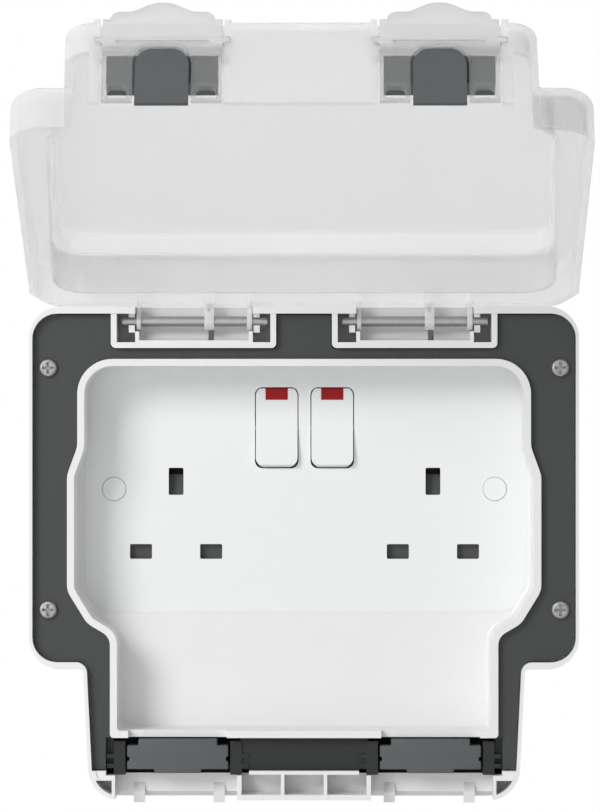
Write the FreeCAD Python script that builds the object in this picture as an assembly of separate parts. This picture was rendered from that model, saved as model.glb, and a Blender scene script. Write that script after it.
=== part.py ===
import FreeCAD
import Part

import math
import os

# Frame: X to the right, Z up, the wall face in the plane y = 0 and the front towards -Y.
# The origin is the centre of the wall face. Lengths are millimetres and angles degrees.
# The lid is drawn shut and then turned about its hinge pins to its open rest position.

V = FreeCAD.Vector

# The standard twin faceplate, its fixings and its pins, which set the scale of the socket
FACE_WIDTH = 146.0
FIXING_INSET = 12.675
PIN_SPACING = 22.23
EARTH_RISE = 22.23

# Back box
PLATE_BORDER = 15.0
TRAY_LAP = 2.2
BOX_HALF = FACE_WIDTH / 2 - TRAY_LAP + PLATE_BORDER
BOX_TOP = 77.75
BOX_BOTTOM = -76.3
BOX_STEP = -35.5
BOX_NECK = BOX_HALF - 16.9
BOX_FOOT = BOX_NECK - 2.0
BOX_DEPTH = 58.0
BOX_WALL = 2.2
BOX_BACK = 3.0
BOX_CORNER = 10.0
BOX_STEP_CORNER = 1.2
WALL_HOLE_INSET = 17.8
WALL_HOLE_Z = 84.0
WALL_HOLE_R = 2.5
WALL_HOLE_LIFT = 14.0
KNOCKOUT_R = 10.0
KNOCKOUT_GROOVE = 1.0
KNOCKOUT_Z = 20.0
KNOCKOUT_X = 45.0

# Seal plate and its screws
RIM_LIP = 1.0
PLATE_RECESS = 3.0
PLATE_THICK = 2.5
PLATE_GAP = 0.3
FRAME_SCREW_X = BOX_HALF - 5.8
FRAME_SCREW_LOW = -17.0
FRAME_SCREW_HEAD_R = 2.85
FRAME_SCREW_HEAD = 1.6
FRAME_SCREW_R = 1.5
FRAME_SCREW_LENGTH = 12.0
FRAME_SCREW_EDGE = 0.9
CROSS_REACH = 1.8
CROSS_HALF = 0.42
CROSS_DEPTH = 1.3
FRAME_BOSS_R = 3.2

# Socket tray
TRAY_PROUD = 2.5
TRAY_WALL = 2.2
TRAY_HALF = FACE_WIDTH / 2 - TRAY_LAP
TRAY_CORNER = 11.0
TRAY_BULGE = TRAY_HALF + 3.2
TRAY_BULGE_TOP = 25.1
TRAY_BULGE_START = 33.9
TRAY_BULGE_FOOT = -11.0
TRAY_BULGE_BEND = 7.0
TRAY_KNEE = TRAY_BULGE - 6.3
TRAY_KNEE_Z = -21.2
TRAY_WELL_HALF = TRAY_HALF - 10.2
TRAY_WELL_TOP = -25.4
TRAY_WELL_BEND = 4.5
TRAY_FOOT = -56.9
TRAY_FLOOR = 2.0
TRAY_FLANGE = 2.6
TRAY_FLANGE_THICK = 2.0
TRAY_MOUTH_DROP = 5.0
TRAY_COVE = 1.2
WINDOW_HALF = TRAY_HALF - 1.1
WINDOW_FOOT = -18.8
WINDOW_CORNER = 9.5

# Socket faceplate
FACE_RECESS = 22.0
FACE_HEIGHT = 86.0
FACE_CENTRE_Z = 20.4
FACE_DEPTH = 8.0
FACE_SKIN = 2.8
FACE_WALL = 2.2
FACE_CORNER = 4.0
CAP_R = 3.75
CAP_THICK = 2.0
CAP_GAP = 0.1
PLATE_SCREW_R = 1.75
PLATE_SCREW_HEAD_R = 3.2
PLATE_SCREW_HEAD = 1.8
PLATE_BOSS_R = 5.2
PILLAR_R = 4.0
PILLAR_FOOT_R = 4.6
PLATE_SCREW_BITE = 12.0
PLATE_SCREW_SPARE = 2.0

# Pin slots, in the two outlets
OUTLET_X = FACE_WIDTH / 2 - 32.3
PIN_ROW_Z = FACE_CENTRE_Z - 19.8
EARTH_SLOT_W = 4.7
EARTH_SLOT_H = 8.6
PIN_SLOT_W = 7.0
PIN_SLOT_H = 4.7
THROAT_LENGTH = 12.0

# Rocker switches
ROCKER_X = 8.8
ROCKER_Z = FACE_CENTRE_Z + 19.4
ROCKER_SLOT_W = 13.8
ROCKER_SLOT_H = 25.7
ROCKER_SIDE_GAP = 0.3
ROCKER_END_GAP = 0.2
ROCKER_SLOT_CORNER = 2.4
ROCKER_CORNER = 2.9
ROCKER_DISH_R = 90.0
ROCKER_DISH = 0.7
ROCKER_CROWN = 1.3
ROCKER_TILT = 6.0
ROCKER_PIVOT_DEPTH = 2.4
ROCKER_BACK = 2.6
ROCKER_WALL = 1.6
TRUNNION_R = 1.2
TRUNNION_REACH = 1.1
BEARING_GAP = 0.05
COLLAR_WALL = 1.6
COLLAR_DEPTH = 2.0
LENS_W = 7.0
LENS_H = 3.5
LENS_THICK = 1.2
LENS_GAP = 0.05
STEM_R = 2.3
STEM_LENGTH = 6.2
PLUNGER_R = 1.2
PLUNGER_GAP = 0.08
PLUNGER_LENGTH = 4.6
PLUNGER_REACH = 9.4
SPRING_WIRE = 0.35
SPRING_TURNS = 4

# Rear housing of the socket
HOUSING_GAP = 0.125
HOUSING_FOOT = -10.0
HOUSING_HEAD = 56.0
HOUSING_DEPTH = 22.0
HOUSING_WALL = 2.0
SWITCH_WELL = 4.0
CLIP_LEAF = 0.8
CLIP_GRIP = 3.7
CLIP_DEPTH = 11.0
CLIP_ROOM = 0.5
BUS_THICK = 1.2
BUS_HEIGHT = 4.0
NEUTRAL_BUS_DROP = 5.5
NEUTRAL_BLOCK_LIFT = 1.4
STRAP_HALF = 1.1
TERMINAL_SIZE = 8.0
EARTH_BLOCK_X = -22.0
TERMINAL_SCREW_R = 1.8
SEESAW_W = 4.5
SEESAW_H = 16.0
SEESAW_THICK = 0.8
SEESAW_TILT = 4.0
SEESAW_GAP = 0.5
NEON_R = 2.0
NEON_LENGTH = 8.0
NEON_ROOM = 0.2

# Shutters
SHUTTER_GAP = 0.2
SHUTTER_THICK = 2.0
SHUTTER_TRAVEL = 6.5
SHUTTER_SIDE = 0.3
SHUTTER_LAP = 1.4
SHUTTER_RAMP = 0.4
SHUTTER_SHOULDER = 1.0
SHUTTER_RAIL = 1.6
BOW_WIRE = 0.4
BOW_SOLID = 2.6
BOW_SPREAD = 5.0
BOW_BEND = 3.0
BOW_SEAT = 1.2

# Hinges
HINGE_X = 34.5
HINGE_BACK = 6.9
HINGE_Z = BOX_TOP - 4.55
PIN_R = 1.6
PIN_LEFT = -22.5
PIN_RIGHT = 23.0
POCKET_WIDTH = 51.6
POCKET_WALL = 1.8
POCKET_CORNER = 1.5
POCKET_FOOT = BOX_TOP - 12.95
POCKET_DEPTH = 20.0
POCKET_LOW = 0.5
TROUGH_R = 6.0
TROUGH_LEFT = -18.2
TROUGH_RIGHT = 18.5
TROUGH_RIB = 1.2
LUG_R = 2.7
LUG_GAP = 0.5
LUG_SPANS = ((-17.9, -16.6), (3.3, 6.3), (16.6, 18.2))
LUG_GROOVE = 1.0
CLIP_SPANS = ((-20.4, -18.5), (18.7, 20.6))
CLIP_JAW = 1.5
CLIP_MOUTH = 2.5
RUN_GAP = 0.05

# Bottom sill, its cells, cable chutes and latch barbs
SILL_TOP = -68.3
SILL_DEPTH = 16.0
SILL_RIB = 1.1
CELL_FOOT = BOX_BOTTOM + 1.7
CELL_DEPTH = 11.0
CELL_WALL = 1.4
CHUTE_OUTER = BOX_FOOT - 7.9
CHUTE_TOP_DEPTH = 11.0
CHUTE_FOOT_DEPTH = 12.2
LATCH_ZONE_LIFT = 1.9
BARB_SPACING = 25.1
BARB_WIDTH = 3.5
BARB_TOP = -71.5
BARB_TIP = BOX_BOTTOM - 1.65
BARB_REACH = 2.0
CORNER_POCKET_IN = CHUTE_OUTER + 1.0
CORNER_POCKET_WALL = 1.3
CORNER_POCKET_TOP = -70.2

# Cable pads in the box
PAD_CENTRE = CHUTE_OUTER - 19.5
PAD_WIDTH = 30.8
PAD_TOP = -58.1
PAD_NOTCH = 2.2
PAD_FOOT = -68.0
PAD_FRONT = 3.4
PAD_BACK = 17.0
PAD_LIP = 1.2
CARRIER_WIDTH = 40.0
CARRIER_WALL = 2.0
CARRIER_SOLE = 0.6
CARRIER_CHEEK = 3.6
CARRIER_WEB_DROP = 1.0
CARRIER_GAP = 0.15
PEG_SIZE = 1.3
PEG_REACH = 2.2
PEG_DROP = 4.7
PEG_PITCH = 3.0
PEG_DEPTH = 3.0
PEG_BACKING = 1.6

# Lid, drawn shut
LID_OPEN = 116.3
LID_GAP = 0.5
LID_WALL = 2.0
LID_HALF = BOX_HALF + 0.2
LID_HEAD = BOX_TOP - 0.15
LID_STEP = BOX_STEP - 0.4
LID_NECK = BOX_NECK + 0.7
LID_NECK_TAPER = 2.8
LID_END = BOX_BOTTOM - 2.2
LID_CORNER = 10.0
LID_NECK_CORNER = 8.0
LID_TIER_HEAD = 15.3
LID_TIER_FOOT = 14.4
LID_DOME_HEAD = 22.7
LID_DOME_FOOT = 10.6
LID_DOME_HALF = LID_HALF - 7.0
LID_DOME_TAPER = 3.8
LID_DOME_INSET = 9.3
LID_DOME_SHOULDER = 6.0
LID_EDGE_R = 3.0
LID_INNER_EDGE = 0.6
LID_INNER_WALL = 1.2
LID_BEND_SHARE = 0.4
GUSSET_RISE = 4.4
LID_SKIRT = 16.5
LID_SKIRT_HALF = CHUTE_OUTER + 1.0
HINGE_SWEEP_GAP = 0.3

# Latches and the seals behind them
LATCH_X = CHUTE_OUTER - 19.7
LATCH_WIDTH = 34.0
LATCH_THICK = 2.0
LATCH_SIDE_GAP = 0.6
LATCH_PIVOT = 4.0
LATCH_PIVOT_R = 1.2
LATCH_TRUNNION = 2.0
LATCH_TAIL = 15.8
LATCH_GRIP = 4.8
LATCH_GRIP_THICK = 3.0
LATCH_RECESS = 4.6
LATCH_WINDOW_W = 5.6
LATCH_WINDOW_H = 3.6
LATCH_WINDOW_BACK = 13.3
LATCH_MOON_R = 1.6
LATCH_U_HALF = 8.3
LATCH_U_TOP = -1.5
LATCH_U_R = 5.0
LATCH_ARCH = 0.9
LATCH_ARCH_RAISE = 0.5
LATCH_GROOVE = 0.8
LATCH_GROOVE_DEPTH = 0.6
LATCH_GROOVE_PLACE = 3.4
LATCH_GROOVE_INSET = 3.8
LATCH_GRIP_EDGE = 2.0
LATCH_GRIP_FLARE = 1.5
LATCH_SHOULDER = 9.0
LATCH_CROWN = 4.0
SEAL_HALF = 15.8
SEAL_DEEP = 9.0
SEAL_RISE = 4.6
SEAL_TONGUE_HALF = 7.6
SEAL_TONGUE = 1.6
SEAL_TONGUE_TAIL = 16.6
SEAL_CLEAR = 0.4

# Planes worked out from the sizes above
RIM = -BOX_DEPTH
SILL_ROOF = SILL_TOP + SILL_RIB
PLATE_FOOT = SILL_ROOF + PLATE_GAP
PLATE_FRONT = RIM + PLATE_RECESS
PLATE_REAR = PLATE_FRONT + PLATE_THICK
TRAY_RIM = PLATE_FRONT - TRAY_PROUD
TRAY_TOP = POCKET_FOOT - 3.4
FRAME_SCREW_TOP = TRAY_TOP - 2.8
FACE_FRONT = RIM + FACE_RECESS
FACE_REAR = FACE_FRONT + FACE_DEPTH
SKIN_REAR = FACE_FRONT + FACE_SKIN
SHUTTER_FRONT = SKIN_REAR + SHUTTER_GAP
SHUTTER_REAR = SHUTTER_FRONT + SHUTTER_THICK
HOUSING_FRONT = SHUTTER_REAR + SHUTTER_GAP
HOUSING_REAR = HOUSING_FRONT + HOUSING_DEPTH
ROCKER_Y = FACE_FRONT + ROCKER_PIVOT_DEPTH
HINGE_Y = RIM + HINGE_BACK
LID_RIM = RIM - LID_GAP
EARTH_Z = PIN_ROW_Z + EARTH_RISE
PIN_OFFSET = PIN_SPACING / 2
FIXING_X = FACE_WIDTH / 2 - FIXING_INSET
HOUSING_HALF = FIXING_X - PLATE_BOSS_R - HOUSING_GAP
WALL_HOLE_X = BOX_HALF - WALL_HOLE_INSET
CELL_HALF = LATCH_X - LATCH_WIDTH / 2 - 2 * CELL_WALL
CHUTE_INNER = CELL_HALF + CELL_WALL
CHUTE_TOP_Y = RIM + CHUTE_TOP_DEPTH
CHUTE_FOOT_Y = RIM + CHUTE_FOOT_DEPTH
SEAL_SKIN_Z = LID_END + 0.3
NEUTRAL_BUS_Z = PIN_ROW_Z - NEUTRAL_BUS_DROP
BEYOND = 5.0


def block(x0, x1, y0, y1, z0, z1):
    """A box between two corners."""
    return Part.makeBox(x1 - x0, y1 - y0, z1 - z0, V(x0, y0, z0))


def rod(radius, start, end):
    """A cylinder from one point to another."""
    along = end.sub(start)
    return Part.makeCylinder(radius, along.Length, start, along)


def rod_y(radius, x, z, y0, y1):
    """A cylinder along Y."""
    return rod(radius, V(x, y0, z), V(x, y1, z))


def rod_x(radius, y, z, x0, x1):
    """A cylinder along X."""
    return rod(radius, V(x0, y, z), V(x1, y, z))


def fuse(first, *others):
    """Joins solids into one, with the seams between them removed."""
    return first.multiFuse(list(others)).removeSplitter()


def round_wire(points):
    """A closed wire through corners, each given as a point and the radius that rounds it."""
    edges = []
    joints = []
    count = len(points)
    for i, (corner, radius) in enumerate(points):
        before = points[i - 1][0]
        after = points[(i + 1) % count][0]
        back = before.sub(corner).normalize()
        ahead = after.sub(corner).normalize()
        if radius <= 0:
            joints.append((corner, corner))
            continue
        turn = back.getAngle(ahead)
        reach = radius / math.tan(turn / 2)
        start = corner + back * reach
        end = corner + ahead * reach
        middle = back.add(ahead).normalize()
        inner = corner + middle * (radius / math.sin(turn / 2) - radius)
        edges.append((i, Part.Arc(start, inner, end).toShape()))
        joints.append((start, end))
    arcs = dict(edges)
    ordered = []
    for i in range(count):
        if i in arcs:
            ordered.append(arcs[i])
        start = joints[i][1]
        end = joints[(i + 1) % count][0]
        if start.distanceToPoint(end) > 1e-6:
            ordered.append(Part.LineSegment(start, end).toShape())
    return Part.Wire(ordered)


def plate_of(corners, y0, y1):
    """A prism along Y of an outline in X and Z, each corner (x, z, radius)."""
    wire = round_wire([(V(x, y0, z), r) for x, z, r in corners])
    return Part.Face(wire).extrude(V(0, y1 - y0, 0))


def mirrored(half):
    """A whole outline from the right-hand half of a symmetric one, listed from the top down."""
    return half + [(-x, z, r) for x, z, r in reversed(half)]


def side_prism(corners, x0, x1):
    """A prism along X of an outline in Y and Z, each corner (y, z, radius)."""
    wire = round_wire([(V(x0, y, z), r) for y, z, r in corners])
    return Part.Face(wire).extrude(V(x1 - x0, 0, 0))


def rounded_rect(cx, cz, width, height, radius, y0, y1):
    """A rectangular prism along Y with round corners."""
    w = width / 2
    h = height / 2
    corners = [(cx - w, cz + h), (cx + w, cz + h), (cx + w, cz - h), (cx - w, cz - h)]
    return plate_of([(x, z, radius) for x, z in corners], y0, y1)


def mirror_x(shape):
    """The same shape on the other side of the plane x = 0."""
    return shape.mirror(V(0, 0, 0), V(1, 0, 0))


def edges_where(shape, test):
    """The edges of a shape whose every end passes a test."""
    return [e for e in shape.Edges if e.Length > 1e-3 and all(test(v.Point) for v in e.Vertexes)]


def opened(shape):
    """A lid piece turned from shut to its open rest position."""
    turned = shape.copy()
    turned.rotate(V(0, HINGE_Y, HINGE_Z), V(1, 0, 0), -LID_OPEN)
    return turned


def box_outline(inset, side=None):
    """The outline of the back box, drawn in by a wall, which may be thinner at the sides."""
    side = inset if side is None else side
    outer = max(BOX_CORNER - inset, 0.5)
    return mirrored([
        (BOX_HALF - side, BOX_TOP - inset, outer),
        (BOX_HALF - side, BOX_STEP + inset, outer),
        (BOX_NECK - side, BOX_STEP + inset, BOX_STEP_CORNER + inset),
        (BOX_FOOT - side, BOX_BOTTOM + inset, outer),
    ])


def tray_outline(offset):
    """The outline of the tray's raised rim, grown by an offset."""
    return mirrored([
        (TRAY_HALF + offset, TRAY_TOP + offset, TRAY_CORNER + offset),
        (TRAY_HALF + offset, TRAY_BULGE_START + offset * 0.18, TRAY_BULGE_BEND - offset),
        (TRAY_BULGE + offset, TRAY_BULGE_TOP + offset * 0.18, TRAY_BULGE_BEND + offset),
        (TRAY_BULGE + offset, TRAY_BULGE_FOOT - offset * 0.28, TRAY_BULGE_BEND + offset),
        (TRAY_KNEE + offset * 0.72, TRAY_KNEE_Z - offset * 0.73, TRAY_BULGE_BEND + offset),
        (TRAY_WELL_HALF + offset, TRAY_WELL_TOP - offset * 0.56, TRAY_WELL_BEND - offset),
        (TRAY_WELL_HALF + offset, TRAY_FOOT - offset, 1.2),
    ])


# Back box

def frame_screw_places():
    """The four places where the seal plate is screwed down."""
    return [(x, z) for x in (-FRAME_SCREW_X, FRAME_SCREW_X) for z in (FRAME_SCREW_TOP, FRAME_SCREW_LOW)]


def hinge_pocket(cx):
    """One white hinge pocket, with the trough under its pin and the two snap clips."""
    left = cx - POCKET_WIDTH / 2
    right = cx + POCKET_WIDTH / 2
    front = RIM + POCKET_LOW
    rear = RIM + POCKET_DEPTH
    inner_top = BOX_TOP - BOX_WALL
    shell = plate_of([
        (left, BOX_TOP - 0.5, 0), (right, BOX_TOP - 0.5, 0),
        (right, POCKET_FOOT, POCKET_CORNER), (left, POCKET_FOOT, POCKET_CORNER),
    ], front, rear)
    room = block(left + POCKET_WALL, right - POCKET_WALL, front - BEYOND, rear - POCKET_WALL,
                 POCKET_FOOT + POCKET_WALL, inner_top)
    shell = shell.cut(room)
    t0 = cx + TROUGH_LEFT
    t1 = cx + TROUGH_RIGHT
    fill = block(t0, t1, front, rear - 0.5, POCKET_FOOT + 0.5, inner_top + 0.5)
    scoop = rod_x(TROUGH_R, HINGE_Y, HINGE_Z, t0 + TROUGH_RIB, t1 - TROUGH_RIB)
    mouth = block(t0 + TROUGH_RIB, t1 - TROUGH_RIB, front - BEYOND, HINGE_Y, HINGE_Z - TROUGH_R, BOX_TOP)
    ends = rod_x(LUG_R + LUG_GAP, HINGE_Y, HINGE_Z, t0 - 1, t1 + 1)
    end_mouth = block(t0 - 1, t1 + 1, front - BEYOND, HINGE_Y, HINGE_Z - LUG_R - LUG_GAP, BOX_TOP)
    slot = block(cx + LUG_SPANS[1][0] + 1.1, cx + LUG_SPANS[1][1] - 0.1, front - BEYOND, rear - 4.0,
                 HINGE_Z - TROUGH_R, HINGE_Z - 1.8)
    fill = fill.cut(scoop).cut(mouth).cut(ends).cut(end_mouth).cut(slot)
    pocket = shell.fuse(fill)
    for x0, x1 in CLIP_SPANS:
        jaw = block(cx + x0, cx + x1, HINGE_Y - CLIP_JAW - 0.4, rear - 0.5,
                    HINGE_Z - PIN_R - CLIP_JAW - 0.4, inner_top + 0.5)
        jaw = jaw.cut(rod_x(PIN_R + RUN_GAP, HINGE_Y, HINGE_Z, cx + x0 - 1, cx + x1 + 1))
        jaw = jaw.cut(block(cx + x0 - 1, cx + x1 + 1, front - BEYOND, HINGE_Y,
                            HINGE_Z - CLIP_MOUTH / 2, HINGE_Z + CLIP_MOUTH / 2))
        pocket = pocket.fuse(jaw)
    return pocket


def hinge_notch(cx):
    """The notch in the box's top wall that the lid's lugs swing through."""
    lug_side = (LUG_R + LUG_GAP) / math.sin(math.radians(LID_OPEN))
    lean = (BOX_TOP - HINGE_Z) * math.tan(math.radians(LID_OPEN - 90.0))
    back = HINGE_Y + lean + lug_side
    return block(cx + TROUGH_LEFT, cx + TROUGH_RIGHT, RIM - BEYOND, back, HINGE_Z, BOX_TOP + BEYOND)


def sill_block():
    """The moulded sill along the foot of the box, before its cells and chutes are cut."""
    inset = BOX_WALL / 2
    sill = plate_of(box_outline(inset), RIM + 0.4, RIM + SILL_DEPTH)
    return sill.common(block(-BOX_HALF, BOX_HALF, RIM - BEYOND, 0, BOX_BOTTOM - 1, SILL_ROOF))


def chute_cut():
    """The sloping recess that a flexible cord leaves through, on the right."""
    cut = side_prism([
        (RIM - BEYOND, SILL_ROOF + 1, 0), (CHUTE_TOP_Y, SILL_ROOF + 1, 0),
        (CHUTE_FOOT_Y, BOX_BOTTOM - 1, 0), (RIM - BEYOND, BOX_BOTTOM - 1, 0),
    ], CHUTE_INNER, CHUTE_OUTER)
    under = block(CHUTE_INNER, CHUTE_OUTER, RIM - BEYOND, RIM + LATCH_TAIL + 1.4, BOX_BOTTOM - 1,
                  BOX_BOTTOM + LATCH_ZONE_LIFT)
    return cut.fuse(under)


def barb(x):
    """One wedge that a latch window snaps over."""
    mid = (BARB_TOP + BARB_TIP) / 2
    foot_y = CHUTE_FOOT_Y + 1.0
    return side_prism([
        (foot_y, BARB_TOP, 0), (foot_y - 1.6, BARB_TOP, 0), (CHUTE_FOOT_Y - BARB_REACH, mid, 0.3),
        (CHUTE_FOOT_Y - 0.4, BARB_TIP, 0.3), (foot_y + 0.4, BARB_TIP, 0.3),
        (foot_y + 0.4, BOX_BOTTOM + LATCH_ZONE_LIFT + 0.6, 0),
    ], x - BARB_WIDTH / 2, x + BARB_WIDTH / 2)


def wall_holes():
    """The holes in the back that screws go through into the wall."""
    return [(sx * WALL_HOLE_X, WALL_HOLE_LIFT + sz * WALL_HOLE_Z / 2) for sx in (-1, 1) for sz in (-1, 1)]


def plate_room(inset, front, rear):
    """The space inside the box's lip that the seal plate lies in, drawn in by an inset."""
    room = plate_of(box_outline(BOX_WALL + inset, RIM_LIP + inset), front, rear)
    return room.common(block(-BOX_HALF, BOX_HALF, front, rear, PLATE_FOOT - PLATE_GAP + inset, BOX_TOP))


def back_box():
    """The white wall box: walls, lip, sill, screw bosses, pillars, knockouts and hinge pockets."""
    outer = plate_of(box_outline(0), RIM, 0)
    inner = plate_of(box_outline(BOX_WALL), RIM - BEYOND, -BOX_BACK)
    solid = outer.cut(inner).cut(plate_room(0, RIM - 1, PLATE_REAR))
    parts = [sill_block()]
    for x, z in frame_screw_places():
        boss = rod_y(FRAME_BOSS_R, x, z, PLATE_REAR, -BOX_BACK + 0.5)
        web = block(min(x, math.copysign(BOX_HALF - 1, x)), max(x, math.copysign(BOX_HALF - 1, x)),
                    PLATE_REAR, -BOX_BACK + 0.5, z - 1.0, z + 1.0)
        parts += [boss, web]
    for side in (-1, 1):
        x = side * FIXING_X
        parts.append(rod_y(PILLAR_R, x, FACE_CENTRE_Z, FACE_REAR, -BOX_BACK + 0.5))
        parts.append(rod_y(PILLAR_FOOT_R, x, FACE_CENTRE_Z, -BOX_BACK - 6.0, -BOX_BACK + 0.5))
    solid = fuse(solid, *parts)
    cells = []
    width = (2 * CELL_HALF - 2 * SILL_RIB) / 3
    for i in range(3):
        x0 = -CELL_HALF + i * (width + SILL_RIB)
        cells.append(block(x0, x0 + width, RIM - BEYOND, RIM + CELL_DEPTH, CELL_FOOT, SILL_TOP))
    corner = block(CORNER_POCKET_IN, BOX_HALF, RIM - BEYOND, RIM + CELL_DEPTH, BOX_BOTTOM, CORNER_POCKET_TOP)
    corner = corner.common(plate_of(box_outline(CORNER_POCKET_WALL), RIM - BEYOND, 0))
    chute = chute_cut()
    cuts = cells + [corner, mirror_x(corner), chute, mirror_x(chute)]
    for side in (-1, 1):
        half = CARRIER_WIDTH / 2 + PEG_REACH + CARRIER_GAP
        cuts.append(block(side * PAD_CENTRE - half, side * PAD_CENTRE + half, RIM - BEYOND,
                          RIM + SILL_DEPTH + 1, PAD_FOOT - CARRIER_SOLE, SILL_ROOF + 1))
    for x, z in frame_screw_places():
        cuts.append(rod_y(FRAME_SCREW_R, x, z, PLATE_REAR - 1, PLATE_REAR + FRAME_SCREW_LENGTH))
    for side in (-1, 1):
        cuts.append(rod_y(PLATE_SCREW_R, side * FIXING_X, FACE_CENTRE_Z, FACE_REAR - 1,
                          FACE_REAR + PLATE_SCREW_BITE + PLATE_SCREW_SPARE))
    for x, z in wall_holes():
        cuts.append(rod_y(WALL_HOLE_R, x, z, -BOX_BACK - 1, 1))
    solid = solid.cut(cuts[0].multiFuse(cuts[1:]))
    ring = Part.makeCylinder(KNOCKOUT_R, KNOCKOUT_GROOVE, V(0, 0, 0), V(1, 0, 0)).cut(
        Part.makeCylinder(KNOCKOUT_R - 1.0, KNOCKOUT_GROOVE, V(0, 0, 0), V(1, 0, 0)))
    side_ring = ring.copy()
    side_ring.translate(V(BOX_HALF - KNOCKOUT_GROOVE, RIM / 2, KNOCKOUT_Z))
    rings = [side_ring, mirror_x(side_ring)]
    for x in (-KNOCKOUT_X, KNOCKOUT_X):
        top_ring = ring.copy()
        top_ring.rotate(V(0, 0, 0), V(0, 1, 0), -90)
        top_ring.translate(V(x, -KNOCKOUT_R - 6.0, BOX_TOP - KNOCKOUT_GROOVE))
        rings.append(top_ring)
    solid = solid.cut(rings[0].multiFuse(rings[1:]))
    for cx in (-HINGE_X, HINGE_X):
        solid = solid.fuse(hinge_pocket(cx)).cut(hinge_notch(cx))
    barbs = [barb(side * LATCH_X + step * BARB_SPACING / 2) for side in (-1, 1) for step in (-1, 1)]
    return fuse(solid, *barbs)


def frame_screws():
    """Four cross-recess pan screws as one group of solids."""
    screws = []
    for x, z in frame_screw_places():
        head = rod_y(FRAME_SCREW_HEAD_R, x, z, PLATE_FRONT - FRAME_SCREW_HEAD, PLATE_FRONT)
        crown = edges_where(head, lambda p: p.y < PLATE_FRONT - FRAME_SCREW_HEAD + 0.01)
        head = head.makeFillet(FRAME_SCREW_EDGE, crown)
        shank = rod_y(FRAME_SCREW_R, x, z, PLATE_FRONT - 0.1, PLATE_REAR + FRAME_SCREW_LENGTH - 1)
        screw = head.fuse(shank)
        for w, h in ((CROSS_REACH, CROSS_HALF), (CROSS_HALF, CROSS_REACH)):
            screw = screw.cut(block(x - w, x + w, PLATE_FRONT - FRAME_SCREW_HEAD - 1,
                                    PLATE_FRONT - FRAME_SCREW_HEAD + CROSS_DEPTH, z - h, z + h))
        screws.append(screw.removeSplitter())
    return Part.makeCompound(screws)


def seal_plate():
    """The dark plate that seals between the box, the hinge pockets and the tray."""
    gap = PLATE_GAP
    plate = plate_room(gap, PLATE_FRONT, PLATE_REAR).cut(plate_of(tray_outline(gap), RIM, 0))
    for cx in (-HINGE_X, HINGE_X):
        half = POCKET_WIDTH / 2 + gap
        plate = plate.cut(plate_of([
            (cx - half, BOX_TOP, 0), (cx + half, BOX_TOP, 0), (cx + half, POCKET_FOOT - gap, POCKET_CORNER),
            (cx - half, POCKET_FOOT - gap, POCKET_CORNER)], RIM, 0))
    cheek = PAD_CENTRE + CARRIER_WIDTH / 2 + gap
    reach = cheek + PEG_REACH
    plate = plate.cut(block(-reach, reach, RIM, 0, PLATE_FOOT - 1, TRAY_FOOT))
    rear = RIM + PAD_FRONT + PEG_DEPTH + PLATE_GAP
    for side in (-1, 1):
        x0, x1 = sorted((side * cheek, side * (reach + PEG_BACKING)))
        backing = block(x0, x1, rear, rear + PEG_BACKING, PLATE_FOOT, TRAY_FOOT - gap)
        x0, x1 = sorted((side * reach, side * (reach + PEG_BACKING)))
        riser = block(x0, x1, PLATE_FRONT, rear + PEG_BACKING, PLATE_FOOT, TRAY_FOOT - gap)
        plate = plate.fuse(backing).fuse(riser)
    for x, z in frame_screw_places():
        plate = plate.cut(rod_y(FRAME_SCREW_R + 0.2, x, z, RIM, 0))
    return plate.removeSplitter()


def socket_tray():
    """The white tub round the socket: raised rim, floor with its window, and the cable well."""
    rim = plate_of(tray_outline(0), TRAY_RIM, FACE_FRONT)
    flange = plate_of(tray_outline(TRAY_FLANGE), PLATE_REAR, PLATE_REAR + TRAY_FLANGE_THICK)
    flange = flange.cut(block(-BOX_HALF, BOX_HALF, RIM, 0, BOX_BOTTOM, TRAY_FOOT + 0.4))
    floor = FACE_FRONT - TRAY_FLOOR
    cavity = plate_of(tray_outline(-TRAY_WALL), RIM - 1, floor)
    cavity = cavity.makeFillet(TRAY_COVE, edges_where(cavity, lambda p: p.y > floor - 0.01))
    top = TRAY_TOP - TRAY_WALL
    window = plate_of([
        (-WINDOW_HALF, top, 0), (WINDOW_HALF, top, 0), (WINDOW_HALF, WINDOW_FOOT, WINDOW_CORNER),
        (-WINDOW_HALF, WINDOW_FOOT, WINDOW_CORNER)], RIM - 1, 0)
    window = window.common(plate_of(tray_outline(-TRAY_WALL), RIM - 1, 0))
    tray = rim.fuse(flange).cut(cavity).cut(window)
    tray = tray.removeSplitter()
    for side in (-1, 1):
        cx = side * PAD_CENTRE
        half = PAD_WIDTH / 2
        tray = tray.cut(block(cx - half, cx + half, RIM - 1, TRAY_RIM + TRAY_MOUTH_DROP,
                              TRAY_FOOT - 1, TRAY_FOOT + TRAY_WALL + 0.5))
    return tray.removeSplitter()


# Socket faceplate and what it carries

def outlets():
    """The two socket axes."""
    return (-OUTLET_X, OUTLET_X)


def pin_places(cx):
    """The neutral and live slots of one outlet."""
    return (cx - PIN_OFFSET, cx + PIN_OFFSET)


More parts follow.
